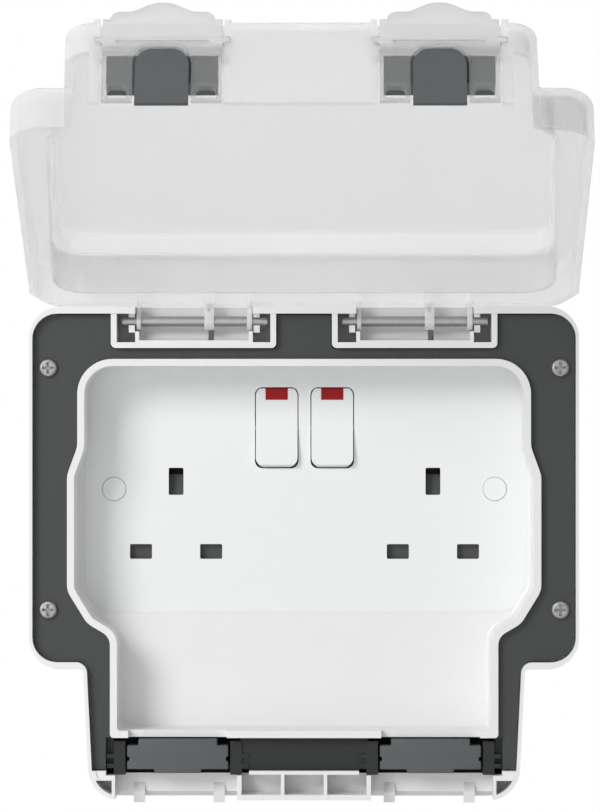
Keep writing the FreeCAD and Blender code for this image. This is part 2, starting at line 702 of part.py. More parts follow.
def faceplate():
    """The white twin faceplate with its slots, rocker wells, shutter rails and bosses."""
    plate = rounded_rect(0, FACE_CENTRE_Z, FACE_WIDTH, FACE_HEIGHT, FACE_CORNER, FACE_FRONT, FACE_REAR)
    hollow = rounded_rect(0, FACE_CENTRE_Z, FACE_WIDTH - 2 * FACE_WALL, FACE_HEIGHT - 2 * FACE_WALL,
                          FACE_CORNER - FACE_WALL + 0.5, SKIN_REAR, FACE_REAR + 1)
    plate = plate.cut(hollow)
    adds = []
    for side in (-1, 1):
        adds.append(rod_y(PLATE_BOSS_R, side * FIXING_X, FACE_CENTRE_Z, SKIN_REAR - 0.5, FACE_REAR))
    half_w = ROCKER_X + ROCKER_SLOT_W / 2 + COLLAR_WALL
    half_h = ROCKER_SLOT_H / 2 + COLLAR_WALL
    adds.append(block(-half_w, half_w, SKIN_REAR - 0.5, SKIN_REAR + COLLAR_DEPTH, ROCKER_Z - half_h,
                      ROCKER_Z + half_h))
    rail_y = HOUSING_FRONT - SHUTTER_GAP / 2
    for cx in outlets():
        for s in (-1, 1):
            x = cx + s * (shutter_half() + SHUTTER_SIDE + SHUTTER_RAIL / 2)
            adds.append(block(x - SHUTTER_RAIL / 2, x + SHUTTER_RAIL / 2, SKIN_REAR - 0.5, rail_y,
                              bow_low() + BOW_WIRE, shutter_shoulder()))
        adds.append(block(cx - BOW_SPREAD, cx + BOW_SPREAD, SKIN_REAR - 0.5, rail_y, bow_low() - BOW_SEAT,
                          bow_low()))
    plate = fuse(plate, *adds)
    cuts = []
    for cx in outlets():
        cuts.append(rounded_rect(cx, EARTH_Z, EARTH_SLOT_W, EARTH_SLOT_H, 0.5, RIM, 0))
        for x in pin_places(cx):
            cuts.append(rounded_rect(x, PIN_ROW_Z, PIN_SLOT_W, PIN_SLOT_H, 0.5, RIM, 0))
    for side in (-1, 1):
        x = side * FIXING_X
        cuts.append(rod_y(PLATE_SCREW_R + 0.25, x, FACE_CENTRE_Z, RIM, 0))
        cuts.append(rod_y(CAP_R + CAP_GAP, x, FACE_CENTRE_Z, RIM, FACE_FRONT + CAP_THICK))
        cuts.append(rod_y(PLATE_SCREW_HEAD_R + 0.3, x, FACE_CENTRE_Z, RIM,
                          FACE_FRONT + CAP_THICK + PLATE_SCREW_HEAD + 0.2))
        cuts.append(rounded_rect(side * ROCKER_X, ROCKER_Z, ROCKER_SLOT_W, ROCKER_SLOT_H,
                                 ROCKER_SLOT_CORNER, RIM, 0))
        reach = ROCKER_SLOT_W / 2 + TRUNNION_REACH + 0.2
        cuts.append(rod_x(TRUNNION_R + BEARING_GAP, ROCKER_Y, ROCKER_Z, side * ROCKER_X - reach,
                          side * ROCKER_X + reach))
        cuts.append(block(side * ROCKER_X - reach, side * ROCKER_X + reach, ROCKER_Y, 0,
                          ROCKER_Z - TRUNNION_R - BEARING_GAP, ROCKER_Z + TRUNNION_R + BEARING_GAP))
    return plate.cut(cuts[0].multiFuse(cuts[1:])).removeSplitter()


def screw_caps():
    """The two blanking caps over the fixing screws."""
    caps = []
    for side in (-1, 1):
        cap = rod_y(CAP_R, side * FIXING_X, FACE_CENTRE_Z, FACE_FRONT - 0.3, FACE_FRONT + CAP_THICK)
        cap = cap.makeFillet(0.4, edges_where(cap, lambda p: p.y < FACE_FRONT - 0.2))
        caps.append(cap)
    return Part.makeCompound(caps)


def plate_screws():
    """The two screws from the faceplate into the box pillars."""
    screws = []
    seat = FACE_FRONT + CAP_THICK + PLATE_SCREW_HEAD + 0.2
    for side in (-1, 1):
        x = side * FIXING_X
        head = rod_y(PLATE_SCREW_HEAD_R, x, FACE_CENTRE_Z, seat - PLATE_SCREW_HEAD, seat)
        shank = rod_y(PLATE_SCREW_R, x, FACE_CENTRE_Z, seat - 0.1, FACE_REAR + PLATE_SCREW_BITE)
        slot = block(x - PLATE_SCREW_HEAD_R, x + PLATE_SCREW_HEAD_R, seat - PLATE_SCREW_HEAD - 1,
                     seat - PLATE_SCREW_HEAD + 0.7, FACE_CENTRE_Z - 0.4, FACE_CENTRE_Z + 0.4)
        screws.append(head.fuse(shank).cut(slot).removeSplitter())
    return Part.makeCompound(screws)


def rocker_shape(side):
    """A rocker, drawn level: crowned front, ends struck from its pivot, hollow back and stem."""
    cx = side * ROCKER_X
    half = ROCKER_SLOT_W / 2 - ROCKER_SIDE_GAP
    end_r = ROCKER_SLOT_H / 2 - ROCKER_END_GAP
    front = FACE_FRONT - ROCKER_CROWN
    rear = ROCKER_Y + ROCKER_BACK
    body = rod_x(end_r, ROCKER_Y, ROCKER_Z, cx - half, cx + half)
    body = body.common(rounded_rect(cx, ROCKER_Z, 2 * half, 2 * end_r, ROCKER_CORNER, front, rear))
    dish = rod_x(ROCKER_DISH_R, front - ROCKER_DISH_R + ROCKER_DISH, ROCKER_Z, cx - half - 1, cx + half + 1)
    body = body.cut(dish)
    inner = half - ROCKER_WALL
    hollow = block(cx - inner, cx + inner, front + ROCKER_WALL + 1.0, rear + 1, ROCKER_Z - end_r + 2.4,
                   ROCKER_Z + end_r - 2.4)
    stem = rod_y(STEM_R, cx, ROCKER_Z, front + ROCKER_WALL + 0.5, ROCKER_Y + STEM_LENGTH)
    pivot = rod_x(TRUNNION_R, ROCKER_Y, ROCKER_Z, cx - half - TRUNNION_REACH - 0.2, cx - half + 0.5)
    other = rod_x(TRUNNION_R, ROCKER_Y, ROCKER_Z, cx + half - 0.5, cx + half + TRUNNION_REACH + 0.2)
    body = fuse(body.cut(hollow), stem, pivot, other)
    bore = rod_y(PLUNGER_R + PLUNGER_GAP, cx, ROCKER_Z, ROCKER_Y + 0.4, ROCKER_Y + STEM_LENGTH + 1)
    seat = block(cx - LENS_W / 2 - LENS_GAP, cx + LENS_W / 2 + LENS_GAP, front - 1, front + LENS_THICK + 0.4,
                 ROCKER_Z + end_r - LENS_H - 0.6, ROCKER_Z + end_r + 1)
    return body.cut(bore).cut(seat).removeSplitter()


def tilted(shape, cx):
    """A rocker piece turned from level to off, with its foot proud."""
    turned = shape.copy()
    turned.rotate(V(cx, ROCKER_Y, ROCKER_Z), V(1, 0, 0), -ROCKER_TILT)
    return turned


def rocker(side):
    """A rocker at rest, switched off."""
    return tilted(rocker_shape(side), side * ROCKER_X)


def indicator(side):
    """The red lens let into the head of a rocker."""
    cx = side * ROCKER_X
    end_r = ROCKER_SLOT_H / 2 - ROCKER_END_GAP
    front = FACE_FRONT - ROCKER_CROWN
    lens = block(cx - LENS_W / 2, cx + LENS_W / 2, front + 0.2, front + LENS_THICK + 0.4,
                 ROCKER_Z + end_r - LENS_H - 0.6 + LENS_GAP, ROCKER_Z + end_r)
    lens = lens.common(rod_x(end_r, ROCKER_Y, ROCKER_Z, cx - LENS_W, cx + LENS_W))
    return tilted(lens, cx)


def plunger(side):
    """The pin that a rocker's spring drives against the see-saw contact."""
    cx = side * ROCKER_X
    tip = ROCKER_Y + PLUNGER_REACH
    body = rod_y(PLUNGER_R, cx, ROCKER_Z, tip - PLUNGER_LENGTH, tip - 0.6)
    nose = Part.makeCone(PLUNGER_R, PLUNGER_R * 0.5, 0.6, V(cx, tip - 0.6, ROCKER_Z), V(0, 1, 0))
    return tilted(fuse(body, nose), cx)


def plunger_spring(side):
    """The coil spring behind a plunger."""
    cx = side * ROCKER_X
    start = ROCKER_Y + 0.4
    end = ROCKER_Y + PLUNGER_REACH - PLUNGER_LENGTH
    radius = PLUNGER_R - SPRING_WIRE
    pitch = (end - start) / SPRING_TURNS
    helix = Part.makeHelix(pitch, end - start - 2 * SPRING_WIRE, radius)
    profile = Part.Wire(Part.makeCircle(SPRING_WIRE, V(radius, 0, 0), V(0, 1, 0)))
    coil = Part.Wire(helix).makePipeShell([profile], True, True)
    coil.rotate(V(0, 0, 0), V(1, 0, 0), -90)
    coil.translate(V(cx, start + SPRING_WIRE, ROCKER_Z))
    return tilted(coil, cx)


def seesaw(side):
    """The tilting switch contact, turned to off."""
    cx = side * ROCKER_X
    y0 = ROCKER_Y + PLUNGER_REACH + SEESAW_GAP
    strip = block(cx - SEESAW_W / 2, cx + SEESAW_W / 2, y0, y0 + SEESAW_THICK, ROCKER_Z - SEESAW_H / 2,
                  ROCKER_Z + SEESAW_H / 2)
    rivet = rod_y(1.5, cx, ROCKER_Z + SEESAW_H / 2 - 2.0, y0 + SEESAW_THICK - 0.1, y0 + SEESAW_THICK + 0.9)
    turned = fuse(strip, rivet)
    turned.rotate(V(cx, y0 + SEESAW_THICK, ROCKER_Z), V(1, 0, 0), SEESAW_TILT)
    return turned


def switch_contacts():
    """The fixed pillars under the see-saws: a pivot edge and a contact button for each."""
    y0 = ROCKER_Y + PLUNGER_REACH + SEESAW_GAP + SEESAW_THICK
    floor = HOUSING_REAR - HOUSING_WALL
    drop = math.sin(math.radians(SEESAW_TILT)) * (SEESAW_H / 2)
    pieces = []
    for side in (-1, 1):
        cx = side * ROCKER_X
        pieces.append(side_prism([
            (y0 + 0.1, ROCKER_Z - 0.3, 0), (y0 + 0.1, ROCKER_Z + 0.3, 0), (y0 + 1.4, ROCKER_Z + 1.5, 0),
            (floor, ROCKER_Z + 1.5, 0), (floor, ROCKER_Z - 1.5, 0), (y0 + 1.4, ROCKER_Z - 1.5, 0),
        ], cx - SEESAW_W / 2, cx + SEESAW_W / 2))
        z = ROCKER_Z + SEESAW_H / 2 - 2.0
        button = y0 + 0.9 + drop
        pieces.append(fuse(rod_y(1.5, cx, z, button, button + 1.0),
                           block(cx - 2, cx + 2, button + 0.9, floor, z - 1.2, z + 1.2)))
    return Part.makeCompound(pieces)


def shutter_half():
    """Half the width of a shutter."""
    return PIN_OFFSET + PIN_SLOT_W / 2 + SHUTTER_LAP


def shutter_foot():
    """The lower edge of a shutter at rest."""
    return PIN_ROW_Z - PIN_SLOT_H / 2 - SHUTTER_LAP


def shutter_shoulder():
    """The top of a shutter's wide part at rest, above the windows."""
    return PIN_ROW_Z + SHUTTER_TRAVEL + PIN_SLOT_H / 2 + SHUTTER_LAP + SHUTTER_SHOULDER


def bow_low():
    """The lowest point of a shutter's bow spring, which lies on its seat."""
    return shutter_foot() - SHUTTER_TRAVEL - BOW_SOLID


def shutter(cx):
    """The sliding plate that covers the live and neutral slots of one outlet."""
    half = shutter_half()
    foot = shutter_foot()
    head = EARTH_Z - EARTH_SLOT_H / 2 + SHUTTER_TRAVEL
    neck = EARTH_SLOT_W / 2 + SHUTTER_LAP
    shoulder = shutter_shoulder()
    slab = plate_of([
        (cx - neck, head, 0.5), (cx + neck, head, 0.5), (cx + neck, shoulder, 0), (cx + half, shoulder, 1.0),
        (cx + half, foot, 1.0), (cx - half, foot, 1.0), (cx - half, shoulder, 1.0), (cx - neck, shoulder, 0),
    ], SHUTTER_FRONT, SHUTTER_REAR)
    ramp_foot = EARTH_Z - EARTH_SLOT_H / 2
    ramp = side_prism([
        (SHUTTER_FRONT - 1, ramp_foot, 0), (SHUTTER_FRONT, ramp_foot, 0),
        (SHUTTER_REAR - SHUTTER_RAMP, head + 0.1, 0), (SHUTTER_REAR - SHUTTER_RAMP, head + 1, 0),
        (SHUTTER_FRONT - 1, head + 1, 0),
    ], cx - neck - 1, cx + neck + 1)
    slab = slab.cut(ramp)
    for x in pin_places(cx):
        slab = slab.cut(rounded_rect(x, PIN_ROW_Z + SHUTTER_TRAVEL, PIN_SLOT_W, PIN_SLOT_H + 0.6, 0.5,
                                     RIM, 0))
    return slab.removeSplitter()


def shutter_spring(cx):
    """The bow spring under a shutter, pushing it up from its seat."""
    y = (SHUTTER_FRONT + SHUTTER_REAR) / 2
    top = shutter_foot() - BOW_WIRE - SHUTTER_GAP
    path = round_wire_open([V(cx - BOW_SPREAD, y, top), V(cx, y, bow_low() + BOW_WIRE),
                            V(cx + BOW_SPREAD, y, top)], BOW_BEND)
    start = path.Edges[0]
    ring = Part.makeCircle(BOW_WIRE, start.Vertexes[0].Point, start.tangentAt(start.FirstParameter))
    return path.makePipeShell([Part.Wire(ring)], True, False)


def round_wire_open(points, radius):
    """An open wire through three points, rounded at the middle one."""
    start, corner, end = points
    back = start.sub(corner).normalize()
    ahead = end.sub(corner).normalize()
    turn = back.getAngle(ahead)
    reach = radius / math.tan(turn / 2)
    first = corner + back * reach
    last = corner + ahead * reach
    inner = corner + back.add(ahead).normalize() * (radius / math.sin(turn / 2) - radius)
    return Part.Wire([Part.LineSegment(start, first).toShape(), Part.Arc(first, inner, last).toShape(),
                      Part.LineSegment(last, end).toShape()])


def clip_room(x, z, upright):
    """The pocket in the rear housing for one contact clip."""
    wide = (PIN_SLOT_W if not upright else EARTH_SLOT_W + 2 * CLIP_LEAF + 1.0)
    tall = (EARTH_SLOT_H if upright else PIN_SLOT_H + 2 * CLIP_LEAF + 1.0)
    y1 = HOUSING_FRONT + THROAT_LENGTH + CLIP_ROOM
    return block(x - wide / 2 - CLIP_ROOM, x + wide / 2 + CLIP_ROOM, HOUSING_FRONT - 1, y1,
                 z - tall / 2 - CLIP_ROOM, z + tall / 2 + CLIP_ROOM)


def contact_clip(x, z, upright):
    """Two brass leaves on a base, that grip a plug pin."""
    y1 = HOUSING_FRONT + THROAT_LENGTH
    y0 = y1 - CLIP_DEPTH
    wide = (EARTH_SLOT_H if upright else PIN_SLOT_W) / 2
    half = (EARTH_SLOT_W if upright else PIN_SLOT_H) / 2
    leaf = side_prism([
        (y0, z + half + CLIP_LEAF, 0), (y0, z + half, 0), (y0 + 2.5, z + CLIP_GRIP / 2, 0),
        (y1 - 3.0, z + half, 0), (y1, z + half, 0), (y1, z + half + CLIP_LEAF, 0),
        (y1 - 3.2, z + half + CLIP_LEAF, 0), (y0 + 2.5, z + CLIP_GRIP / 2 + CLIP_LEAF, 0),
    ], x - wide + 0.3, x + wide - 0.3)
    lower = leaf.mirror(V(x, 0, z), V(0, 0, 1))
    base = block(x - wide + 0.3, x + wide - 0.3, y1 - CLIP_LEAF, y1, z - half - 0.2, z + half + 0.2)
    clip = fuse(leaf, lower, base)
    if upright:
        clip.rotate(V(x, 0, z), V(0, 1, 0), 90)
    return clip


def bus_y():
    """The front of the buses, which lie against the backs of the contact clips."""
    return HOUSING_FRONT + THROAT_LENGTH


def terminal(x, z):
    """A brass terminal block behind a bus."""
    half = TERMINAL_SIZE / 2
    y0 = bus_y() + BUS_THICK - 0.2
    cube = block(x - half, x + half, y0, y0 + TERMINAL_SIZE, z - half, z + half)
    cube = cube.cut(rod(2.0, V(x - half - 1, y0 + half, z), V(x + half + 1, y0 + half, z)))
    return cube.cut(rod_y(TERMINAL_SCREW_R, x, z, y0 + half, y0 + TERMINAL_SIZE + 1))


def terminal_places():
    """Where the neutral and earth terminals stand."""
    return {"neutral": (0.0, NEUTRAL_BUS_Z + NEUTRAL_BLOCK_LIFT), "earth": (EARTH_BLOCK_X, EARTH_Z)}


def neutral_contacts():
    """Both neutral clips on their common bus with its terminal."""
    y0 = bus_y()
    parts = [contact_clip(pin_places(cx)[0], PIN_ROW_Z, False) for cx in outlets()]
    ends = [pin_places(cx)[0] for cx in outlets()]
    parts.append(block(ends[0] - STRAP_HALF, ends[1] + STRAP_HALF, y0, y0 + BUS_THICK,
                       NEUTRAL_BUS_Z - BUS_HEIGHT / 2, NEUTRAL_BUS_Z + BUS_HEIGHT / 2))
    for x in ends:
        parts.append(block(x - STRAP_HALF, x + STRAP_HALF, y0 - 0.1, y0 + BUS_THICK, NEUTRAL_BUS_Z,
                           PIN_ROW_Z + 1.0))
    parts.append(terminal(*terminal_places()["neutral"]))
    return fuse(*parts)


def live_contacts():
    """Each live clip with the strap that leads up to its switch."""
    y0 = bus_y() + BUS_THICK + 1.5
    pieces = []
    for cx in outlets():
        x = pin_places(cx)[1]
        clip = contact_clip(x, PIN_ROW_Z, False)
        x0 = x - STRAP_HALF
        x1 = x + STRAP_HALF
        tail = block(x0, x1, bus_y() - 0.1, y0 + BUS_THICK, PIN_ROW_Z + 2.4, PIN_ROW_Z + 5.0)
        foot = block(x0, x1, bus_y() - 0.1, bus_y() + 0.9, PIN_ROW_Z - 1.5, PIN_ROW_Z + 5.0)
        riser = block(x0, x1, y0, y0 + BUS_THICK, PIN_ROW_Z + 2.4, ROCKER_Z - 11.0)
        pieces.append(fuse(clip, tail, foot, riser))
    return Part.makeCompound(pieces)


def earth_contacts():
    """Both earth clips on their common bus with its terminal."""
    y0 = bus_y()
    parts = [contact_clip(cx, EARTH_Z, True) for cx in outlets()]
    parts.append(block(-OUTLET_X - 2.0, OUTLET_X + 2.0, y0 - 0.1, y0 + BUS_THICK, EARTH_Z - BUS_HEIGHT / 2,
                       EARTH_Z + BUS_HEIGHT / 2))
    parts.append(terminal(*terminal_places()["earth"]))
    return fuse(*parts)


def terminal_screws():
    """The clamping screws of the neutral and earth terminals."""
    screws = []
    y0 = bus_y() + BUS_THICK - 0.2 + TERMINAL_SIZE
    for name in ("neutral", "earth"):
        x, z = terminal_places()[name]
        shank = rod_y(TERMINAL_SCREW_R - 0.05, x, z, y0 - TERMINAL_SIZE / 2 + 2.1, y0 + 1.0)
        slot = block(x - 2, x + 2, y0 + 0.4, y0 + 2, z - 0.35, z + 0.35)
        screws.append(shank.cut(slot))
    return Part.makeCompound(screws)


def neon_places():
    """Where the neon lamps lie, above the switch wells."""
    return [(side * (ROCKER_X + 5.2), ROCKER_Z + 9.0) for side in (-1, 1)]


def neon_lamps():
    """The small glass lamps that light the red lenses."""
    lamps = []
    for x, z in neon_places():
        y0 = HOUSING_FRONT + SWITCH_WELL
        tube = rod_y(NEON_R, x, z, y0 + 1, y0 + NEON_LENGTH)
        tip = Part.makeCone(0.6, NEON_R, 1.0, V(x, y0, z), V(0, 1, 0))
        lamps.append(fuse(tube, tip))
    return Part.makeCompound(lamps)


def rear_housing():
    """The moulded base behind the faceplate, with its pockets, switch well and buses' room."""
    body = plate_of([
        (-HOUSING_HALF, HOUSING_HEAD, 3.0), (HOUSING_HALF, HOUSING_HEAD, 3.0),
        (HOUSING_HALF, HOUSING_FOOT, 3.0), (-HOUSING_HALF, HOUSING_FOOT, 3.0)], HOUSING_FRONT, HOUSING_REAR)
    cuts = []
    for cx in outlets():
        cuts.append(clip_room(cx, EARTH_Z, True))
        for x in pin_places(cx):
            cuts.append(clip_room(x, PIN_ROW_Z, False))
    y0 = bus_y() - 0.2
    room = plate_of([
        (-HOUSING_HALF + HOUSING_WALL, EARTH_Z + 8.0, 1.5), (HOUSING_HALF - HOUSING_WALL, EARTH_Z + 8.0, 1.5),
        (HOUSING_HALF - HOUSING_WALL, HOUSING_FOOT + HOUSING_WALL, 1.5),
        (-HOUSING_HALF + HOUSING_WALL, HOUSING_FOOT + HOUSING_WALL, 1.5)], y0, HOUSING_REAR + 1)
    cuts.append(room)
    wide = ROCKER_X + ROCKER_SLOT_W / 2 + COLLAR_WALL + 0.3
    tall = ROCKER_SLOT_H / 2 + COLLAR_WALL + 0.3
    head = ROCKER_Z + tall
    cuts.append(block(-wide, wide, HOUSING_FRONT - 1, HOUSING_FRONT + SWITCH_WELL, ROCKER_Z - tall, head))
    for side in (-1, 1):
        cx = side * ROCKER_X
        low = ROCKER_Z - SEESAW_H / 2 - 1.0
        cuts.append(block(cx - SEESAW_W / 2 - 1.0, cx + SEESAW_W / 2 + 1.0, HOUSING_FRONT - 1,
                          HOUSING_REAR - HOUSING_WALL, low, low + SEESAW_H + 2.0))
    body = body.cut(cuts[0].multiFuse(cuts[1:]))
    end = HOUSING_FRONT + SWITCH_WELL + NEON_LENGTH
    for x, z in neon_places():
        body = body.cut(rod_y(NEON_R + NEON_ROOM, x, z, HOUSING_FRONT - 1, end))
    return body.removeSplitter()


# Cable pads at the foot of the box

def pad_carrier():
    """The dark moulding that holds both cable pads, with two pegs on each cheek."""
    front = RIM + PAD_FRONT
    rear = RIM + PAD_BACK
    parts = []
    for cx in (-PAD_CENTRE, PAD_CENTRE):
        half = CARRIER_WIDTH / 2
        inner = half - CARRIER_CHEEK
        frame = block(cx - half, cx + half, front, rear, PAD_FOOT - CARRIER_SOLE, PAD_TOP)
        room = block(cx - inner, cx + inner, front - 1, rear - CARRIER_WALL, PAD_FOOT - 2, PAD_TOP + 1)
        parts.append(frame.cut(room))
        for z in (PAD_TOP - PEG_DROP, PAD_TOP - PEG_DROP - PEG_PITCH):
            parts.append(block(cx - half - PEG_REACH, cx - half + 0.2, front, front + PEG_DEPTH,
                               z - PEG_SIZE / 2, z + PEG_SIZE / 2))
            parts.append(block(cx + half - 0.2, cx + half + PEG_REACH, front, front + PEG_DEPTH,
                               z - PEG_SIZE / 2, z + PEG_SIZE / 2))
    span = PAD_CENTRE - CARRIER_WIDTH / 2 + 0.5
    parts.append(block(-span, span, PLATE_FRONT + CARRIER_WEB_DROP, PLATE_REAR + CARRIER_WEB_DROP,
                       PLATE_FOOT, TRAY_FOOT - PLATE_GAP))
    return fuse(*parts)


def cable_pad(cx):
    """The soft block that closes round a cord, notched at its corners."""
    half = CARRIER_WIDTH / 2 - CARRIER_CHEEK - CARRIER_GAP
    front = RIM + PAD_FRONT - PAD_LIP
    rear = RIM + PAD_BACK - CARRIER_WALL - CARRIER_GAP
    inner = half - PAD_NOTCH
    ledge = PAD_TOP - PAD_NOTCH
    pad = plate_of([
        (cx - inner, PAD_TOP, 0), (cx + inner, PAD_TOP, 0), (cx + inner, ledge, 0), (cx + half, ledge, 0),
        (cx + half, PAD_FOOT, 0), (cx - half, PAD_FOOT, 0), (cx - half, ledge, 0), (cx - inner, ledge, 0),
    ], front, rear)
    slits = []
    for s in (-1, 1):
        x = cx + s * half * 0.72
        slits.append(block(x - 3.5, x + 3.5, front - 1, front + 5.0, PAD_FOOT + 0.6, PAD_FOOT + 1.4))
    return pad.cut(slits[0].fuse(slits[1]))


# Lid, drawn shut

def wide_outline(inset):
    """The wide part of the lid, seen from the front."""
    r = LID_CORNER - inset
    return mirrored([
        (LID_HALF - inset, LID_HEAD - inset, r),
        (LID_HALF - inset, LID_STEP + inset, r),
    ])


def dome_outline(inset):
    """The raised dome of the lid, seen from the front."""
    foot = LID_NECK - LID_NECK_TAPER - inset
    bend = inset * LID_BEND_SHARE
    return mirrored([
        (LID_DOME_HALF - inset, LID_HEAD - LID_DOME_INSET - inset, LID_CORNER - inset),
        (LID_DOME_HALF - LID_DOME_TAPER - inset, LID_STEP + LID_DOME_SHOULDER + bend, LID_DOME_SHOULDER),
        (LID_NECK - inset, LID_STEP + bend, LID_DOME_SHOULDER / 2),
        (foot, LID_END + inset, max(LID_NECK_CORNER - inset, 0.5)),
    ])


def front_y(slope, z):
    """Where a sloping front lies at a height, from its rises at the lid's head and lower down."""
    head, foot, foot_z = slope
    return LID_RIM - head + (LID_HEAD - z) * (head - foot) / (LID_HEAD - foot_z)


def behind(slope, back):
    """The space between a sloping front and a plane behind it."""
    near = LID_HEAD + BEYOND
    far = LID_END - BEYOND
    return side_prism([(back, near, 0), (front_y(slope, near), near, 0), (front_y(slope, far), far, 0),
                       (back, far, 0)], -LID_HALF - BEYOND, LID_HALF + BEYOND)


def sloped(outline, head, foot, foot_z, inset):
    """A form of the lid: an outline under a sloping front with a rounded edge."""
    back = LID_RIM + (BEYOND if inset else 0)
    slope = (head - inset, foot - inset, foot_z)
    form = plate_of(outline(inset), LID_RIM - head - BEYOND, back).common(behind(slope, back))

    def on_front(point):
        """Whether a point lies on the sloping front."""
        return abs(point.y - front_y(slope, point.z)) < 0.02

    return form.makeFillet(LID_EDGE_R - inset * LID_INNER_EDGE, edges_where(form, on_front))


def lid_tier(inset):
    """The wide tier of the lid."""
    return sloped(wide_outline, LID_TIER_HEAD, LID_TIER_FOOT, LID_STEP, inset)


def lid_dome(inset):
    """The dome of the lid, which runs on into its neck."""
    return sloped(dome_outline, LID_DOME_HEAD, LID_DOME_FOOT, LID_END, inset)


def inner_wall():
    """The thin wall that carries the outline of the dome down to the rim inside the tier."""
    front = LID_RIM - LID_TIER_FOOT + LID_WALL / 2
    ring = plate_of(dome_outline(0), front, LID_RIM)
    ring = ring.cut(plate_of(dome_outline(LID_INNER_WALL), front - 1, LID_RIM + 1))
    return ring.common(block(-LID_HALF, LID_HALF, front, LID_RIM, LID_STEP, LID_HEAD))


def gusset(x0, x1):
    """A triangular web on the tier against the head of the dome."""
    foot = front_y((LID_TIER_HEAD, LID_TIER_FOOT, LID_STEP), LID_HEAD) + 0.5
    wall = LID_HEAD - LID_DOME_INSET
    return side_prism([(foot, LID_HEAD - LID_EDGE_R, 0), (foot, wall - 1.0, 0),
                       (foot - 0.5 - GUSSET_RISE, wall - 1.0, 0), (foot - 0.5 - GUSSET_RISE, wall + 0.6, 0)],
                      x0, x1)


def lid_rib(cx, x0, x1):
    """One hinge lug and the rib that carries it into the dome."""
    top = LID_HEAD - LID_WALL + 0.5
    reach = LID_RIM - LID_TIER_HEAD + LID_WALL
    eye = rod_x(LUG_R, HINGE_Y, HINGE_Z, cx + x0, cx + x1)
    arm = block(cx + x0, cx + x1, LID_RIM - 1.5, HINGE_Y, HINGE_Z - LUG_R, HINGE_Z + LUG_R)
    rib = side_prism([
        (LID_RIM - 1.4, HINGE_Z - LUG_R, 0), (LID_RIM - 1.4, top, 0), (reach - 0.5, top, 0),
        (reach - 0.5, HINGE_Z - 1.0, 0)], cx + x0, cx + x1)
    lug = fuse(eye, arm, rib)
    if x1 - x0 > 2.0:
        middle = cx + (x0 + x1) / 2
        groove = block(middle - LUG_GROOVE / 2, middle + LUG_GROOVE / 2, RIM - 6.0, HINGE_Y - LUG_R + 0.5,
                       HINGE_Z - LUG_R - 1, HINGE_Z - LUG_R + 1.2)
        lug = lug.cut(groove)
    return lug


def latch_recess(side):
    """The recess across the end of the lid that a latch works in."""
    half = LATCH_WIDTH / 2 + LATCH_SIDE_GAP
    cx = side * LATCH_X
    return block(cx - half, cx + half, LID_RIM - LID_DOME_HEAD - BEYOND, 0, LID_END - 1,
                 LID_END + LATCH_RECESS)


def recess_wall(side):
    """The wall that closes the lid behind a latch."""
    half = LATCH_WIDTH / 2 + LATCH_SIDE_GAP
    cx = side * LATCH_X
    z0 = LID_END + LATCH_RECESS
    front = LID_RIM - LID_DOME_FOOT - 2
    back = block(cx - half - LID_WALL, cx + half + LID_WALL, front, LID_RIM, z0, z0 + LID_WALL)
    cheeks = [block(x0, x0 + LID_WALL, front, LID_RIM, LID_END, z0 + 0.5)
              for x0 in (cx - half - LID_WALL, cx + half)]
    wall = fuse(back, *cheeks)
    wall = wall.common(behind((LID_DOME_HEAD, LID_DOME_FOOT, LID_END), LID_RIM + 1))
    return wall.common(plate_of(dome_outline(0), front - BEYOND, LID_RIM + 1))


def latch_axis():
    """The line that both latches pivot on, as (y, z) of the shut lid."""
    return (LID_RIM - LATCH_PIVOT, LID_END + LATCH_THICK / 2)


def lid_shell():
    """The clear lid: tier, dome, end skirt, hinge lugs, latch recesses and ears."""
    outer = fuse(lid_tier(0), lid_dome(0))
    inner = lid_tier(LID_WALL).fuse(lid_dome(LID_WALL))
    shell = outer.cut(inner)
    sweep = math.hypot(HINGE_BACK, BOX_TOP - HINGE_Z) + HINGE_SWEEP_GAP
    shell = shell.cut(rod_x(sweep, HINGE_Y, HINGE_Z, -LID_HALF - 1, LID_HALF + 1))
    skirt = plate_of([
        (-LID_SKIRT_HALF, LID_END + LID_WALL, 0), (LID_SKIRT_HALF, LID_END + LID_WALL, 0),
        (LID_SKIRT_HALF, LID_END, 0), (-LID_SKIRT_HALF, LID_END, 0)], LID_RIM - 3.0, LID_RIM + LID_SKIRT)
    adds = [skirt, inner_wall()]
    for cx in (-HINGE_X, HINGE_X):
        for x0, x1 in LUG_SPANS:
            adds += [lid_rib(cx, x0, x1), gusset(cx + x0, cx + x1)]
    shell = fuse(shell, *adds)
    for side in (-1, 1):
        shell = shell.cut(latch_recess(side))
    y, z = latch_axis()
    shell = fuse(shell, recess_wall(-1), recess_wall(1))
    reach = LATCH_WIDTH / 2 + LATCH_TRUNNION + 0.2
    bores = [rod_x(LATCH_PIVOT_R + RUN_GAP, y, z, side * LATCH_X - reach, side * LATCH_X + reach)
             for side in (-1, 1)]
    bores += [rod_x(PIN_R, HINGE_Y, HINGE_Z, cx + PIN_LEFT, cx + PIN_RIGHT) for cx in (-HINGE_X, HINGE_X)]
    return shell.cut(bores[0].multiFuse(bores[1:])).removeSplitter()


def hinge_pins():
    """The two steel pins, each held by the lid's lugs and turning in the box clips."""
    return Part.makeCompound([rod_x(PIN_R, HINGE_Y, HINGE_Z, cx + PIN_LEFT, cx + PIN_RIGHT)
                              for cx in (-HINGE_X, HINGE_X)])


def flat_u(cx, half, top, foot, radius, z0, z1):
    """A prism along Z of a plate's opening: square at its foot, round at its top corners."""
    corners = [(cx - half, foot, 0), (cx - half, top, radius), (cx + half, top, radius), (cx + half, foot, 0)]
    wire = round_wire([(V(x, y, z0), r) for x, y, r in corners])
    return Part.Face(wire).extrude(V(0, 0, z1 - z0))


